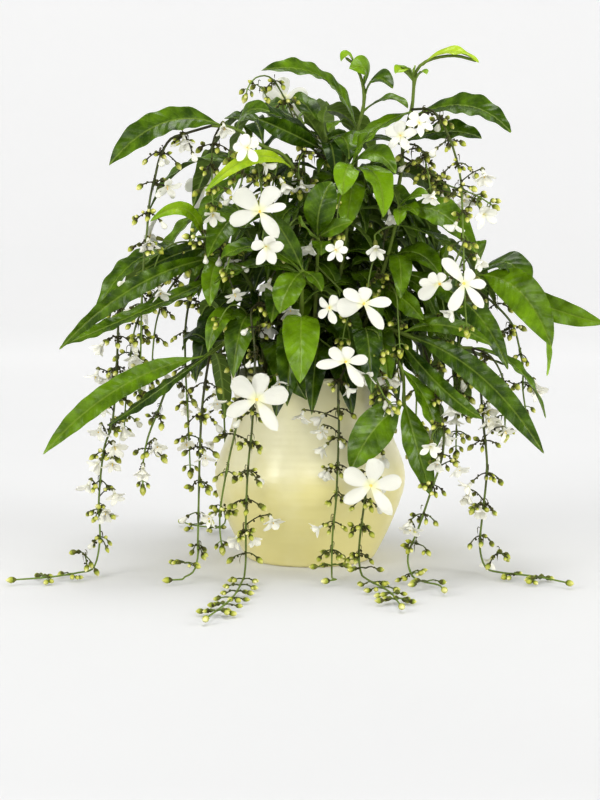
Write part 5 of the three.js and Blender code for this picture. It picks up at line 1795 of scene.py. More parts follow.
@dataclass
class FlowerChain:
    """A hanging chain: a thin stalk with whorls of buds, down to a bud at its end.

    It has its name and its solid's, the line of its stalk, the radius at either end, the spacing of the
    solid's whorls, a seed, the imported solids, or None for a twig that they leave out, and how long its arms
    are, as a share of those of a chain. Then follow how often an arm bears an open flower, here and on the
    far side, or a white bud, the age from which it is bare and branched, how often a side bud is missing and a
    shorter arm stands between the pairs, and the sizes of what it bears.
    """

    name: str
    node: str
    curve: SmoothCurve
    radii: tuple[float, float]
    spacing: float
    seed: int
    solids: PackedSolids | None
    share: float = 1.0
    open_share: float = 0.08
    far_open_share: float = 0.17
    white_share: float = 0.12
    branched_age: float = 0.4
    bare_share: float = 0.15
    lying_share: float = 0.6
    crosswise_share: float = 0.62
    twig_crosswise_share: float = 0.2
    spread: float = 55
    lying_spread: float = 4
    bud_share: float = 0.37
    side_bud_length: tuple = (4.2, 6.8)
    spent_radius: tuple = (0.85, 1.35)
    white_length: tuple = (9, 12)
    flower_length: tuple = (15, 19)
    floweret_length: tuple = (16, 20)
    bract_length: tuple = (4, 10)
    end_bud: tuple = (8.8, 3.1)
    stalk_step: float = 5
    knot_reach: float = 2.6
    knot_height: float = 0.45
    arm_radii: tuple = (0.85, 0.68, 0.6, 0.58, 0.64, 0.8)
    flower_arm_radii: tuple = (0.85, 0.68, 0.6, 0.58, 0.6, 0.66, 0.8)

    def __post_init__(self) -> None:
        """Sets out its whorls, and starts its skin and its draws."""
        self.whorls = max(1, round(self.curve.length / self.spacing) - 1)
        self.points = self.curve.along(np.linspace(0, 1, self.whorls + 1))
        self.draws, self.chance = Chance(self.seed), Chance(self.seed + 900)
        if self.name.startswith("far"):
            self.open_share = self.far_open_share
        self.skin = Skin()
        self.buds = BudMaker(self.skin, self.chance)
        self.nodes: list[Point] = []

    @staticmethod
    def across(ahead: Point, turn: float) -> Point:
        """The way that a pair of arms crosses the chain, turned round it by so many degrees.

        Args:
            ahead: the way that the chain runs, one long.
            turn: how far to turn.

        Returns:
            The way that one arm points, one long.
        """
        level = abs(ahead[2]) < 0.6
        way = unit(np.cross(ahead, UP) if level else RIGHT - ahead * ahead[0])
        angle = math.radians(turn)
        return way * math.cos(angle) + np.cross(ahead, way) * math.sin(angle)

    def arm(self, centre: Point, out: Point, reach: float, pose: Pose, age: float) -> None:
        """Adds one arm with what it bears at its end, and its side buds and spent cups.

        Args:
            centre: where it leaves the stalk.
            out: the way that it points, one long.
            reach: how far its bud reaches.
            pose: how it is held.
            age: from 0 for fresh to 1 for old, when it is darker and has lost more buds.
        """
        chance = self.chance
        line, (away, rise) = pose.value
        side = unit(np.cross(out, UP))
        sway = chance.either_way(0.09)
        points = np.array([
            centre + out * (a * reach) + UP * ((h + chance.either_way(0.03) * (a > 0)) * reach)
            + side * (sway * math.sin(2.4 * a) * reach) for a, h in line
        ])
        smooth = SmoothCurve(points).at(np.linspace(0, 1, 6))
        tone = mix(0.5, 0.0, age) + chance.either_way(0.1)
        self.skin.tube(smooth, self.arm_radii, 5, Look.STALK, tone)
        end, way = smooth[-1], unit(out * away + UP * rise + side * chance.either_way(0.12))
        bears = chance.draw()
        if pose is not Pose.LYING and bears < self.open_share:
            way = unit(way + out * chance.between(-0.3, 0.4))
            self.buds.grow_small_flower(end, way, chance.between(*self.flower_length))
        elif pose is not Pose.LYING and bears < self.open_share + self.white_share:
            self.buds.grow_white_bud(end, way, chance.between(*self.white_length))
        else:
            length = min(max(reach, 17), 24) * self.bud_share * chance.between(0.92, 1.1)
            radius = min(BUD_RADIUS, length * BUD_PLUMPNESS) * chance.between(0.9, 1.0)
            self.buds.grow_bud(end, way, (length, radius))
        sign = 1 if chance.draw() < 0.5 else -1
        for place in (1, 2, 3, 4) if age > self.branched_age else (2, 4):
            sign = -sign
            if chance.draw() < self.bare_share:
                continue
            start = mix(smooth[place], smooth[place + 1], chance.draw() * 0.7)
            drop = 0.1 if pose is Pose.LYING else chance.between(-0.3, 0.9)
            bud_way = unit(side * sign * chance.between(0.4, 1) + out * chance.between(0.1, 0.7) - UP * drop)
            self.side_bud(start, bud_way, 0.5 * (1 - 0.8 * age) + 0.06 * place * (1 - age), tone)

    def side_bud(self, start: Point, way: Point, likely: float, tone: float) -> None:
        """Adds a small bud on its stalk, or what is left of one.

        Args:
            start: where it leaves its arm or the stalk.
            way: the way that it points, one long.
            likely: how likely it is that the bud is still there.
            tone: the stalk's mark of age.
        """
        chance = self.chance
        if chance.draw() > likely:
            self.buds.grow_spent_cup(start, way, chance.between(*self.spent_radius))
            return
        stalk = chance.between(1.6, 3.6)
        self.skin.tube(np.array([start, start + way * stalk * 0.6 + UP * 0.2, start + way * stalk]),
                       [0.5, 0.45, 0.55], 4, Look.STALK, tone)
        size = chance.between(*self.side_bud_length)
        self.buds.grow_bud(start + way * stalk, way, (size, size * BUD_PLUMPNESS))

    def whorl(self, centre: Point, across: Point, reach: float, pose: Pose, age: float) -> None:
        """Adds a pair of arms, and with luck shorter ones crosswise, with knobs and bracts.

        Args:
            centre: the whorl's place on the stalk.
            across: the way that its pair points, one long.
            reach: how far the pair reaches.
            pose: how the pair is held.
            age: from 0 for fresh to 1 for old.
        """
        chance = self.chance
        self.nodes.append(centre)
        for sign in (-1, 1):
            self.arm(centre, across * sign, reach, pose, age)
        if pose is Pose.LYING:
            ahead = unit(np.cross(across, UP)) * (1 if chance.draw() < 0.5 else -1)
            for sign in (-1, 1):
                if chance.draw() < self.lying_share:
                    self.arm(centre, unit(across * sign + ahead * chance.between(0.3, 0.9)),
                             reach * chance.between(0.5, 0.75), pose, age)
            return
        aside = unit(np.cross(across, UP))
        for sign in (-1, 1):
            if chance.draw() < (self.crosswise_share if self.share == 1 else self.twig_crosswise_share):
                out = unit(aside * sign + across * chance.either_way(0.5))
                self.arm(centre + UP * chance.between(-2, 3), out, reach * chance.between(0.45, 0.75),
                         Pose.DROOPING, age)
        for _ in range(3 if age > self.branched_age else 1):
            turn = chance.between(0, 2 * math.pi)
            way = unit(across * math.cos(turn) + aside * math.sin(turn) + UP * chance.between(-0.9, 0.4))
            self.side_bud(centre + UP * chance.between(-2.5, 3.5), way, 0.22, 0.3)
        for _ in range(5 if age > self.branched_age else 3):
            turn = chance.between(0, 2 * math.pi)
            way = unit(across * math.cos(turn) + aside * math.sin(turn))
            self.buds.grow_bract(centre + UP * chance.between(-3, 9), way, chance.between(*self.bract_length))

    def build(self) -> bpy.types.Object:
        """Adds the whorls, the end bud and the stalk, and makes the piece.

        Returns:
            The new piece.
        """
        for i in range(self.whorls):
            near, far = self.points[i], self.points[i + 1]
            middle = (near + far) / 2
            lying = middle[2] < LYING_BELOW
            turn = self.lying_spread if lying else self.spread
            spread = self.draws.either_way(turn)
            reach = self.draws.between(*ARM_LENGTH) * mix(1, 0.75, i / (self.whorls + 1)) * self.share
            pose, age = Pose.LYING if lying else Pose.ARCHED, 1 - (i + 0.5) / self.whorls
            self.place_pair(middle, unit(far - near), spread, reach, pose, age)
            if i > 0 and self.solids:
                self.between_pair(i, reach, 1 - i / self.whorls)
        for spot in FLOWERETS.get(self.name, ()):
            self.add_floweret(spot)
        self.end_whorl(self.curve.along(1.0)[0], self.curve.ahead(1))
        count = max(8, round(self.curve.length / self.stalk_step))
        shares = np.linspace(0, 1, count)
        line = self.curve.along(shares)
        thick = []
        for share, point in zip(shares, line):
            nearest = min((math.dist(point, node) for node in self.nodes), default=math.inf)
            knot = self.knot_height * math.exp(-((nearest / self.knot_reach) ** 2))
            thick.append(mix(*self.radii, share) * 0.86 + knot)
        self.skin.tube(line, thick, 7, Look.STALK, np.linspace(0.15, 0.9, count))
        kind = "flower_spray" if self.node.startswith("leafy") else "bud_chain"
        return self.skin.piece(f"{kind}_{self.name}", "flower_chain", [self.node])

    def end_whorl(self, end: Point, ahead: Point) -> None:
        """Adds the close-set buds at the chain's end.

        Args:
            end: the chain's end.
            ahead: the way that it runs there, one long.
        """
        chance = self.chance
        self.buds.grow_bud(end + ahead * 0.5, ahead, self.end_bud)
        if end[2] < LYING_BELOW:
            return
        side, other = crosswise(ahead)
        for k in range(4):
            turn = k * math.pi / 2 + chance.either_way(0.4)
            out = side * math.cos(turn) + other * math.sin(turn)
            start = end - ahead * (3 + 2.5 * (k % 2))
            tip = start + out * chance.between(3.5, 6.5) + ahead * chance.between(1, 3)
            self.skin.tube(np.array([start, mix(start, tip, 0.5) - ahead * 0.6, tip]), [0.6, 0.5, 0.6], 4,
                           Look.STALK, 0.7)
            size = chance.between(5, 7)
            self.buds.grow_bud(tip, unit(out * 0.5 + ahead), (size, size * BUD_PLUMPNESS))

    def place_pair(self, middle: Point, way: Point, spread: float, reach: float, pose: Pose, age: float) -> None:
        """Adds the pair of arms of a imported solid, turned as that one is.

        Args:
            middle: the pair's place.
            way: the way that the chain runs, one long.
            spread: how far the pair is turned, in degrees.
            reach: how far it reaches.
            pose: how it is held.
            age: from 0 for fresh to 1 for old.
        """
        away, drop = (1.0, 0.0) if pose is Pose.LYING else (0.87, 0.38)
        for turn in PAIR_TURNS:
            across = self.across(way, spread + turn)
            tips = [middle + across * (sign * away * reach) - UP * (drop * reach) for sign in (-1, 1)]
            if self.solids is None or any(self.solids.holds(self.node, tip) for tip in tips):
                self.whorl(middle, across, reach, pose, age)
                return

    def between_pair(self, index: int, reach: float, age: float) -> None:
        """Adds a whorl halfway between two that the solids have.

        Args:
            index: the number of the solid's whorl before it.
            reach: how far that one reaches.
            age: from 0 for fresh to 1 for old.
        """
        place, chance = self.points[index], self.chance
        ahead = self.curve.ahead(index / self.whorls)
        if place[2] < LYING_BELOW:
            self.whorl(place, self.across(ahead, 0), reach * chance.between(0.75, 0.9), Pose.LYING, age)
            return
        across = self.across(ahead, chance.either_way(70))
        self.whorl(place, unit(across * [1, 1, 0.3]), reach * chance.between(0.7, 0.95), Pose.DROOPING, age)

    def add_floweret(self, spot: tuple[float, float]) -> None:
        """Adds a small flower on a stalk of its own, where one shows.

        Args:
            spot: where its middle shows, right and up of the plant's foot.
        """
        chance = self.chance
        start = shown_on(self.curve.along(np.linspace(0, 1, 60)), spot)
        place = seen((*spot, start[1] - chance.between(3, 9)))
        out = unit((place - start) * [1, 1, 0] + VIEWER_SIDE * 0.01)
        way = unit(out * chance.between(0.2, 0.6) + VIEWER_SIDE * chance.between(0.1, 0.6) - UP)
        length = chance.between(*self.floweret_length)
        base = place - way * length * 0.6
        bow = mix(start, base, 0.5) + UP * chance.between(1, 3)
        line = SmoothCurve([start, bow, base]).at(np.linspace(0, 1, 7))
        self.skin.tube(line, self.flower_arm_radii, 5, Look.STALK, 0.25)
        self.buds.grow_small_flower(base, way, length)
        for joint in line[2:5]:
            aside = unit(np.cross(out, UP) * chance.either_way(1) + UP * chance.between(-0.6, 0.3) + out * 0.2)
            self.side_bud(joint, aside, 0.2, 0.2)


@dataclass(frozen=True)
class BloomPetal:
    """A petal of a large flower: its angle from the right, its reach and half width in radii, its point."""

    angle: float
    reach: float
    half: float
    pointed: float


# The petals of the large flowers that face the viewer, by number
BLOOM_PETALS = {
    1: ((140, 0.97, 0.31, 0.05), (80, 0.84, 0.28, 0.05), (12, 1.0, 0.3, 0.1), (-56, 1.14, 0.22, 0.75),
        (207, 1.08, 0.24, 0.55)),
    2: ((152, 0.96, 0.29, 0.1), (79, 0.88, 0.31, 0.05), (8, 1.0, 0.27, 0.25), (-55, 1.16, 0.21, 0.8),
        (211, 1.0, 0.23, 0.35)),
    3: ((141, 1.08, 0.34, 0.05), (62, 0.98, 0.29, 0.1), (12, 0.86, 0.18, 0.4), (-53, 1.02, 0.23, 0.5),
        (198, 1.04, 0.26, 0.35)),
    5: ((190, 1.0, 0.36, 0.0), (145, 0.88, 0.22, 0.3), (84, 0.6, 0.25, 0.0), (4, 1.04, 0.21, 0.4),
        (-53, 1.16, 0.23, 0.6)),
    6: ((188, 1.2, 0.21, 0.5), (142, 0.82, 0.24, 0.2), (78, 0.6, 0.26, 0.0), (8, 0.88, 0.22, 0.3),
        (-56, 1.2, 0.23, 0.6)),
    7: ((129, 1.1, 0.23, 0.3), (56, 0.56, 0.22, 0.0), (-2, 0.82, 0.18, 0.5), (-52, 1.04, 0.19, 0.65),
        (240, 1.04, 0.23, 0.25)),
    8: ((178, 0.96, 0.22, 0.4), (136, 0.62, 0.22, 0.2), (70, 0.5, 0.22, 0.0), (-16, 0.56, 0.2, 0.4),
        (214, 1.2, 0.3, 0.3)),
}
# How far the petals of the nodding flowers open, in degrees from their axis, where that isn't nearly flat
BLOOM_OPENING = {4: 52, 9: 46, 10: 70, 12: 66, 13: 74, 14: 54, 15: 66, 16: 56}
BLOOM_FLAT = 86


@dataclass
class Bloom:
    """A large flower: five broad petals round a small eye, a slender tube, its cup and its stalk.

    It has its number, where its stalk starts, its middle, the way that it looks, its width, and how far it
    is turned, in degrees.
    """

    number: int
    start: Point
    centre: Point
    face: Point
    size: float
    spin: float
    petal_half: float = 0.33
    petal_grain: tuple = (12, 9)
    overlap: float = 0.4
    petal_tilt: float = 8
    petal_fall: float = 0.13
    stalk_radius: tuple = (0.95, 0.8)
    tube_radius: float = 1.75
    cup_size: tuple = (6.5, 2.1)
    eye: tuple = ((0, 0.5), (0.5, 1.0), (0.9, 0.95), (1, 0.6), (0.55, 0))
    tube: tuple = ((0, 0.62), (0.3, 0.6), (0.75, 0.75), (0.97, 1.1), (0.9, 0))
    cup: tuple = ((-0.1, 0.3), (0.1, 0.8), (0.5, 1), (0.9, 1.05), (1, 1), (0.8, 0))

    def __post_init__(self) -> None:
        """Looks up how far it opens and starts its draws."""
        self.opening = BLOOM_OPENING.get(self.number, BLOOM_FLAT)
        self.chance = Chance(round(self.size * 7 + self.spin * 3 + self.centre[0]))

    def petals(self) -> list[BloomPetal]:
        """The flower's petals: as they show, or by rule, where those that hang are longer and more pointed.

        Returns:
            The petals.
        """
        if self.number in BLOOM_PETALS:
            return [BloomPetal(*row) for row in BLOOM_PETALS[self.number]]
        chance, rows = self.chance, []
        for order in range(5):
            angle = 180 - (self.spin + 72 * order) + chance.either_way(9)
            hang = 0.5 - 0.5 * math.sin(math.radians(angle))
            rows.append(BloomPetal(
                angle, mix(0.9, 1.1, hang) * chance.between(0.92, 1.05),
                self.petal_half * mix(1.05, 0.78, hang) * chance.between(0.88, 1.1),
                min(1, max(0, mix(0, 0.75, hang) + chance.either_way(0.2))),
            ))
        return rows

    def build(self, node: str) -> bpy.types.Object:
        """Adds the flower.

        Args:
            node: the solid that it stands for.

        Returns:
            The new piece.
        """
        skin, chance, face = Skin(), self.chance, self.face
        petals = BudMaker(skin, chance)
        side = unit(np.cross(face, UP))
        other = np.cross(side, face)
        radius = self.size / 2
        for order, petal in enumerate(self.petals()):
            turn = math.radians(petal.angle)
            tilt = math.radians(self.opening + chance.either_way(self.petal_tilt))
            away = other * math.sin(turn) - side * math.cos(turn)
            out = away * math.sin(tilt) + face * math.cos(tilt)
            lean = face * math.sin(tilt) - away * math.cos(tilt)
            fall = self.petal_fall * chance.between(0.5, 1.7)
            shape = PetalShape(
                radius * 0.05, radius * petal.reach, radius * petal.half, petal.pointed, fall,
                chance.between(0.05, 0.35), chance.between(-0.2, 0.35), chance.between(0, 6),
            )
            root = self.centre + face * (self.overlap * ((order * 2) % 5) / 2)
            petals.grow_petal(root, out, lean, shape, self.petal_grain)
        skin.spindle(self.centre - face * 0.6, face, self.eye, (1.5, 1.15 + radius * 0.012), 14, Look.EYE, 0.5)
        long = self.size * BLOOM_TUBE
        skin.spindle(self.centre - face * long, face, self.tube, (long, self.tube_radius), 10, Look.PETAL, 0.5)
        skin.spindle(self.centre - face * (long + 1), face, self.cup, self.cup_size, 10, Look.CUP, 1.0, 0.8)
        foot = self.centre - face * (long + SEAT_GAP)
        back = foot - face * 7
        bow = mix(self.start, back, 0.6) - face * 6
        t = np.linspace(0, 1, 9)[:, None]
        line = (1 - t) ** 2 * self.start + 2 * t * (1 - t) * bow + t**2 * back
        line = np.vstack([line, foot])
        skin.tube(line, [mix(*self.stalk_radius, i / 9) for i in range(10)], 7, Look.STALK, 0.6)
        return skin.piece(f"white_flower_{self.number}", "petal", [node])


# How much slimmer a stem's leaves are than those of its solid, which are stouter to print
SLIM = {"left_mid": 0.7, "left_low": 0.8, "right_low": 0.8, "front_apex": 0.86}


@dataclass
class Plant:
    """The whole plant, grown stem by stem in the solids' own order."""

    solids: PackedSolids

    def __post_init__(self) -> None:
        """Starts with nothing grown."""
        self.crowd = Crowd()
        self.stems: dict[str, LeafyStem] = {}
        self.chains: dict[str, FlowerChain] = {}

    @staticmethod
    def stem_curve(x: float, y: float, path: list[Point]) -> SmoothCurve:
        """A stem's curve: upright in the soil from its foot at x and y, then along its path."""
        foot, mouth = np.array([x, y, STEM_FOOT]), np.array([x, y, SOIL_CROWN + 4])
        return SmoothCurve([foot, mouth, np.array([x * STEM_FLARE, y * STEM_FLARE, STEM_THROAT]), *path])

    def add_stem(self, name: str, curve: SmoothCurve, steps: int) -> LeafyStem:
        """Sets out a stem, whose solid follows its curve in a number of steps."""
        points = curve.at(np.linspace(0, 1, steps + 1))
        self.stems[name] = LeafyStem(name, curve, points, self.solids, self.crowd)
        return self.stems[name]

    def shown_leaf(self, stem: str, row: tuple, slim: float = 1.0) -> Blade:
        """A leaf as it shows.

        Args:
            stem: the name of its stem.
            row: its row of the table.
            slim: the share of the solid's width that it keeps.

        Returns:
            The leaf's place.
        """
        width, roll, tone = row[8:]
        base = shown_on(self.stems[stem].points, row[:2])
        return Blade(base, seen(row[2:5]), seen(row[5:8]), width * slim, roll, tone)

    def grow_stems(self) -> None:
        """Sets out all stems and grows their leaves."""
        shown: dict[str, list] = {}
        for name, root, path, leaves in STEMS:
            curve = self.stem_curve(root[0], root[1], [seen(spot) for spot in path])
            self.add_stem(name, curve, math.floor((len(path) + 2) * 1.3 + 0.5))
            shown[name] = [self.shown_leaf(name, row, SLIM.get(name, 1.0)) for row in leaves]
        chance = Chance(41)
        for index, (azimuth, reach, height, pairs) in enumerate(FAR_STEMS):
            name = f"far_{index + 1}"
            root = around(azimuth, FAR_ROOT_RADIUS, 0)
            path = [around(azimuth, reach * out, mix(STEM_THROAT, height, up)) for out, up in FAR_STEM_RISE]
            path += [around(azimuth, reach, height), around(azimuth + 6, reach * 1.22, height - 6)]
            stem = self.add_stem(name, self.stem_curve(root[0], root[1], path), FAR_STEM_STEPS)
            shown[name] = [
                self.far_leaf(stem.points, azimuth, pair / (pairs - 1), side, chance)
                for pair in range(pairs)
                for side in (-1, 1)
            ]
        for name, blades in shown.items():
            placed = sum(self.stems[name].add_leaf(blade) for blade in blades)
            log.info("%s: %d of %d leaves", name, placed, len(blades))
        self.grow_inner_leaves()
        for name, row in SMALL_LEAVES:
            self.stems[name].grow_leaf(self.shown_leaf(name, row))

    @staticmethod
    def far_leaf(points: np.ndarray, azimuth: float, rank: float, side: int, chance: Chance) -> Blade:
        """A leaf of the far side, one of a pair at a rank from 0 to 1 along its stem.

        Args:
            points: the stem's points.
            azimuth: the way that the stem leans, in degrees.
            rank: the pair's place along the stem.
            side: 1 or -1, for the leaf's side.
            chance: draws for its size and lie.

        Returns:
            The leaf's place.
        """
        base = place_on(points, mix(0.6, 0.97, rank))
        turn = azimuth + side * mix(96, 26, rank) + chance.either_way(8)
        length = chance.between(*FAR_LEAF_LENGTH)
        width = chance.between(*FAR_LEAF_WIDTH)
        droop = chance.between(0.18, 0.46)
        over = base + around(turn, length * 0.5, length * 0.12)
        to = base + around(turn, length * 0.92, -length * droop)
        roll = side * chance.between(10, 34)
        return Blade(base, over, to, width, roll, 0.35)

    def grow_inner_leaves(self) -> None:
        """Grows the leaves that hide the stems' feet."""
        chance = Chance(97)
        for name, stem in self.stems.items():
            near = not name.startswith("far")
            for share in INNER_SHARES if near else FAR_INNER_SHARES:
                scale = min(1, INNER_POINTS / len(stem.points)) if near else 1
                base = place_on(stem.points, share * scale)
                outward = azimuth_of(base + VIEWER_SIDE * (INNER_SHIFT if near else 0))
                azimuth = mix(outward, -90, INNER_TURN) if near else outward
                for _ in range(INNER_TRIES):
                    turned = azimuth + chance.either_way(INNER_SPREAD)
                    length = chance.between(*INNER_LENGTH)
                    droop = length * chance.between(0.2, 0.6)
                    width = chance.between(*INNER_WIDTH)
                    roll = 30 * chance.draw()
                    over = base + around(turned, length * 0.48, length * 0.14)
                    to = base + around(turned, length * 0.8, -droop)
                    if stem.add_leaf(Blade(base, over, to, width, roll, 0.25)):
                        break

    def hang_chains(self) -> None:
        """Sets out the chains and the sprays."""
        for name, stem, start, lies, towards, path in CHAINS:
            first = shown_on(self.stems[stem].points, start)
            points = self.laid_out([first, *map(seen, path)], lies, towards)
            self.add_chain(name, f"flower_chain_{name}", points, CHAIN_RADIUS, WHORL_SPACING, self.solids)
        for index, foot, lies in FAR_CHAINS:
            name = f"far_{index + 1}"
            start = place_on(self.stems[name].points, FAR_CHAIN_START)
            azimuth = azimuth_of(start)
            reach = math.hypot(start[0], start[1])
            hang = max(reach + 22, FAR_HANG_RADIUS)
            path = [
                around(azimuth, mix(reach, hang, 0.6), start[2] - 12),
                around(azimuth, hang, start[2] - 50),
                around(azimuth - 2, hang + 2, mix(foot, start[2], 0.55)),
                around(azimuth - 3, hang, mix(foot, start[2], 0.26)),
                around(azimuth - 3, hang - 2, foot),
            ]
            points = self.laid_out([start, *path], lies, azimuth + 8)
            self.add_chain(name, f"flower_chain_{name}", points, CHAIN_RADIUS, WHORL_SPACING, self.solids)
        for prefix, rows, spacing, solids, share in (
            ("", SPRAYS, SPRAY_SPACING, self.solids, 1.0), ("twig_", TWIGS, TWIG_SPACING, None, TWIG_REACH),
            ("hanger_", HANGERS, HANGER_SPACING, None, 1.0),
        ):
            for name, stem, start, path in rows:
                points = [shown_on(self.stems[stem].points, start), *map(seen, path)]
                self.add_chain(prefix + name, self.stems[stem].node, points, SPRAY_RADIUS, spacing, solids, share)

    def add_chain(self, name: str, node: str, points: list[Point], radii: tuple[float, float], spacing: float,
                  solids: PackedSolids | None, share: float = 1.0) -> None:
        """Sets out one chain, spray, twig or hanger. Its draws start from its number.

        Args:
            name: its name.
            node: the solid that it stands for.
            points: the points that its stalk runs through.
            radii: the stalk's radius at its start and its end.
            spacing: how far apart its solid's whorls are.
            solids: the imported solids, or None where they leave it out.
            share: how long its arms are, as a share of those of a chain.
        """
        seed = FIRST_CHAIN_SEED + len(self.chains)
        self.chains[name] = FlowerChain(name, node, SmoothCurve(points), radii, spacing, seed, solids, share)

    @staticmethod
    def laid_out(points: list[Point], lies: float, towards: float) -> list[Point]:
        """A chain's points with those of the part that lies along the surface.

        Args:
            points: the points of the part that hangs.
            lies: how far the rest reaches.
            towards: the way that it runs, in degrees.

        Returns:
            All the points.
        """
        if lies <= 0:
            return points
        last = points[-1]
        runs = ((7, 0, 3), (24, 1, 0), (mix(24, lies, 0.5), 5, 0), (lies, -2, 0))
        for ahead, aside, above in runs:
            place = np.array([last[0], last[1], LIE_HEIGHT + above])
            points.append(place + around(towards, ahead, 0) + around(towards + 90, aside, 0))
        return points

    def open_blooms(self) -> None:
        """Adds the large flowers, each where its solid is."""
        for index, (holder, start, place, size, yaw, pitch, spin) in enumerate(BLOOMS):
            kind, name = holder.split(" ")
            carrier = self.stems[name] if kind == "stem" else self.chains[name]
            level, turn = math.cos(math.radians(pitch)), math.radians(yaw)
            face = np.array([level * math.sin(turn), -level * math.cos(turn), math.sin(math.radians(pitch))])
            self.add_bloom(index + 1, shown_on(carrier.points, start), seen(place), face, size, spin)
        for order, (index, share, out, above, size) in enumerate(FAR_BLOOMS):
            start = place_on(self.stems[f"far_{index + 1}"].points, share)
            azimuth = azimuth_of(start)
            centre = start + around(azimuth, out, above)
            number = len(BLOOMS) + order + 1
            self.add_bloom(number, start, centre, unit(around(azimuth, 0.96, 0.28)), size, 20 * order)

    def add_bloom(self, number: int, start: Point, centre: Point, face: Point, size: float, spin: float) -> None:
        """Adds one large flower, moved aside as its solid was.

        Args:
            number: which flower it is.
            start: where its stalk starts.
            centre: its middle.
            face: the way that it looks, one long.
            size: its width.
            spin: how far it is turned, in degrees.
        """
        node = f"bloom_{number}"
        for nearer, higher in BLOOM_SHIFTS:
            place = centre + face * nearer + UP * higher
            if self.solids.holds(node, place + face * 0.6):
                self.crowd.take(place + np.outer(np.linspace(-0.3, 0.3, 5) * size, UP))
                Bloom(number, start, place, face, size, spin).build(node)
                return
        raise ValueError(f"{node} isn't where its rule puts it")

    def build(self) -> None:
        """Grows the whole plant."""
        self.grow_stems()
        self.hang_chains()
        for chain in self.chains.values():
            self.crowd.take(chain.curve.along(np.linspace(0.05, 1, 30)))
            chain.build()
        self.open_blooms()
        grown = sum(stem.fill() for stem in self.stems.values())
        log.info("%d leaves fill the crown", grown)
        for stem in self.stems.values():
            stem.build()


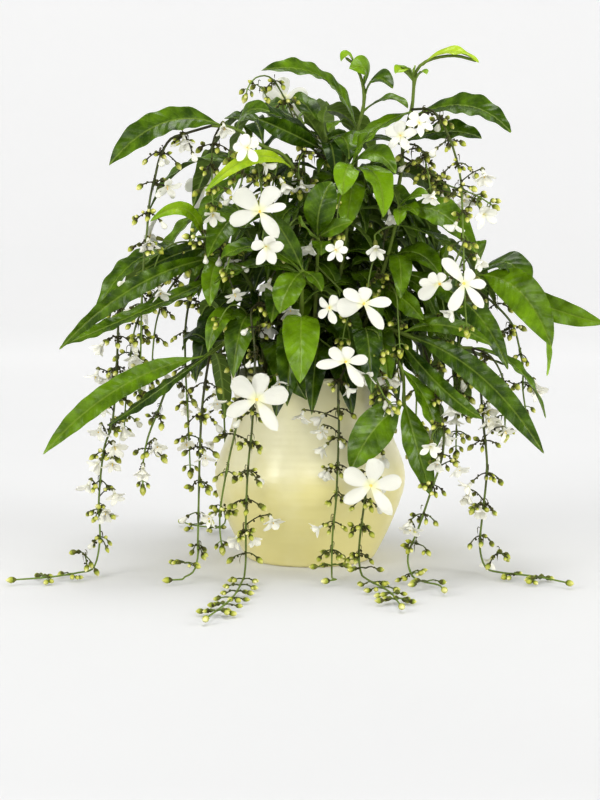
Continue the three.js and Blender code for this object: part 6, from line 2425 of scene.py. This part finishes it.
@dataclass
class Studio:
    """A pale floor that sweeps up to a pale wall, soft light and the camera."""

    paper: str = "#d5d5d5"
    thin: str = "#d2d2d2"
    glow: float = 0.46
    gamma: float = 0.88
    lens: float = 85.0
    sensor: float = 36.0
    room: float = 0.42
    lit_at: tuple = (0, 0, 0.25)
    floor_rows: int = 40
    floor_sides: int = 96
    profile: tuple = ((0, 0), (3.4, 0), (4.2, 0.06), (5, 0.35), (5.6, 0.95), (5.9, 1.8), (6, 3.4))
    # Each soft box: its name, its place, its width and height, and its power
    boxes: tuple = (
        ("softbox_left", (-1.8, -1.5, 1.1), (1.0, 1.3), 30), ("softbox_right", (2.1, -1.2, 0.8), (0.9, 1.3), 30),
        ("softbox_front", (0.3, -2.6, 0.9), (1.6, 1.0), 16), ("softbox_top", (0.1, 0.3, 2.6), (1.2, 1.2), 28),
    )

    def sweep(self) -> bpy.types.Material:
        """The material of the floor and the wall: matt paper, lit through from behind away from the plant.

        Returns:
            The material.
        """
        made, add, where = start_material("studio_paper_matt")
        # The paper's weight varies in clouds of about 300 mm
        clouds = add("TexNoise", {"Vector": where, "Scale": per_mm(300), "Detail": 2.0})
        paper = add("Mix", {FACTOR: clouds, FIRST: self.paper, SECOND: self.thin}, **COLOURS)
        rough = add("MapRange", {"Value": clouds, "To Min": 0.9, "To Max": 0.95})
        behind = add("SeparateXYZ", {0: where}, 1)
        around_it = add("VectorMath", {0: where}, 1, operation="LENGTH")
        beside = add("Math", {0: around_it, 1: 1.5}, operation="SUBTRACT")
        away = add("Math", {0: behind, 1: beside}, operation="MAXIMUM")
        lit = add("MapRange", {"Value": away, "From Min": -0.8, "From Max": 2.4, "To Max": self.glow})
        shader = add("BsdfPrincipled", {"Base Color": paper, "Roughness": rough, "Specular IOR Level": 0.1,
                                        "Emission Color": "#fbfbfb", "Emission Strength": lit})
        add("OutputMaterial", {"Surface": shader})
        return made

    def floor(self) -> None:
        """Adds the floor, which rises smoothly to a wall all round."""
        curve = SmoothCurve(self.profile).at(np.linspace(0, 1, self.floor_rows))
        sides = self.floor_sides
        points = [(0.0, 0.0, 0.0)]
        for radius, height in curve[1:]:
            points += [(radius * math.cos(a), radius * math.sin(a), max(height, 0.0)) for a in turns(sides)]
        faces = [(0, 1 + k, 1 + (k + 1) % sides) for k in range(sides)]
        for row in range(len(curve) - 2):
            for k in range(sides):
                near, after = 1 + row * sides + k, 1 + row * sides + (k + 1) % sides
                faces.append((near, near + sides, after + sides, after))
        mesh = bpy.data.meshes.new("studio_floor")
        mesh.from_pydata(points, [], faces)
        mesh.polygons.foreach_set("use_smooth", [True] * len(mesh.polygons))
        mesh.materials.append(self.sweep())
        put_in_scene("studio_floor", mesh)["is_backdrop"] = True

    def light(self, name: str, place: tuple, size: tuple, watts: float) -> None:
        """Adds a soft box that faces the plant.

        Args:
            name: its name.
            place: where it stands, in metres.
            size: its width and height, in metres.
            watts: its power.
        """
        lamp = bpy.data.lights.new(name, "AREA")
        lamp.shape = "RECTANGLE"
        lamp.size, lamp.size_y = size
        lamp.energy = watts
        box = put_in_scene(name, lamp)
        box.location = place
        box.rotation_euler = (Vector(self.lit_at) - Vector(place)).to_track_quat("-Z", "Y").to_euler()

    def lights(self) -> None:
        """Adds the soft boxes and the even light of the room."""
        for box in self.boxes:
            self.light(*box)
        world = bpy.data.worlds.new("studio_room")
        world.use_nodes = True
        tree = world.node_tree
        tree.nodes.clear()
        room = add_node(tree, "Background", {"Color": "#fbfbfa", "Strength": self.room})
        add_node(tree, "OutputWorld", {"Surface": room})
        scene = bpy.context.scene
        scene.world = world
        scene.view_settings.view_transform = "Standard"
        scene.view_settings.look = "None"
        scene.view_settings.gamma = self.gamma

    def camera(self) -> None:
        """Adds the camera, level from side to side and tipped down a little."""
        data = bpy.data.cameras.new("view")
        data.lens = self.lens
        data.sensor_width = self.sensor
        data.clip_start, data.clip_end = 0.05, 50
        camera = put_in_scene("view", data)
        camera.location = Vector(EYE * METRE)
        camera.rotation_euler = (math.pi / 2 - SIGHT_PITCH, 0, 0)
        bpy.context.scene.camera = camera

    def build(self) -> None:
        """Sets up the studio."""
        self.floor()
        self.lights()
        self.camera()


def main() -> None:
    """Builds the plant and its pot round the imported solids."""
    logging.basicConfig(level=logging.INFO, format="%(message)s")
    Studio().build()
    Pot().build()
    Soil().build()
    Plant(PackedSolids(frame["nodes"])).build()
    corners = sum(len(piece.data.loops) - 2 * len(piece.data.polygons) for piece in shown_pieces())
    log.info("%d triangles in all", corners)


if __name__ == "__main__":
    main()
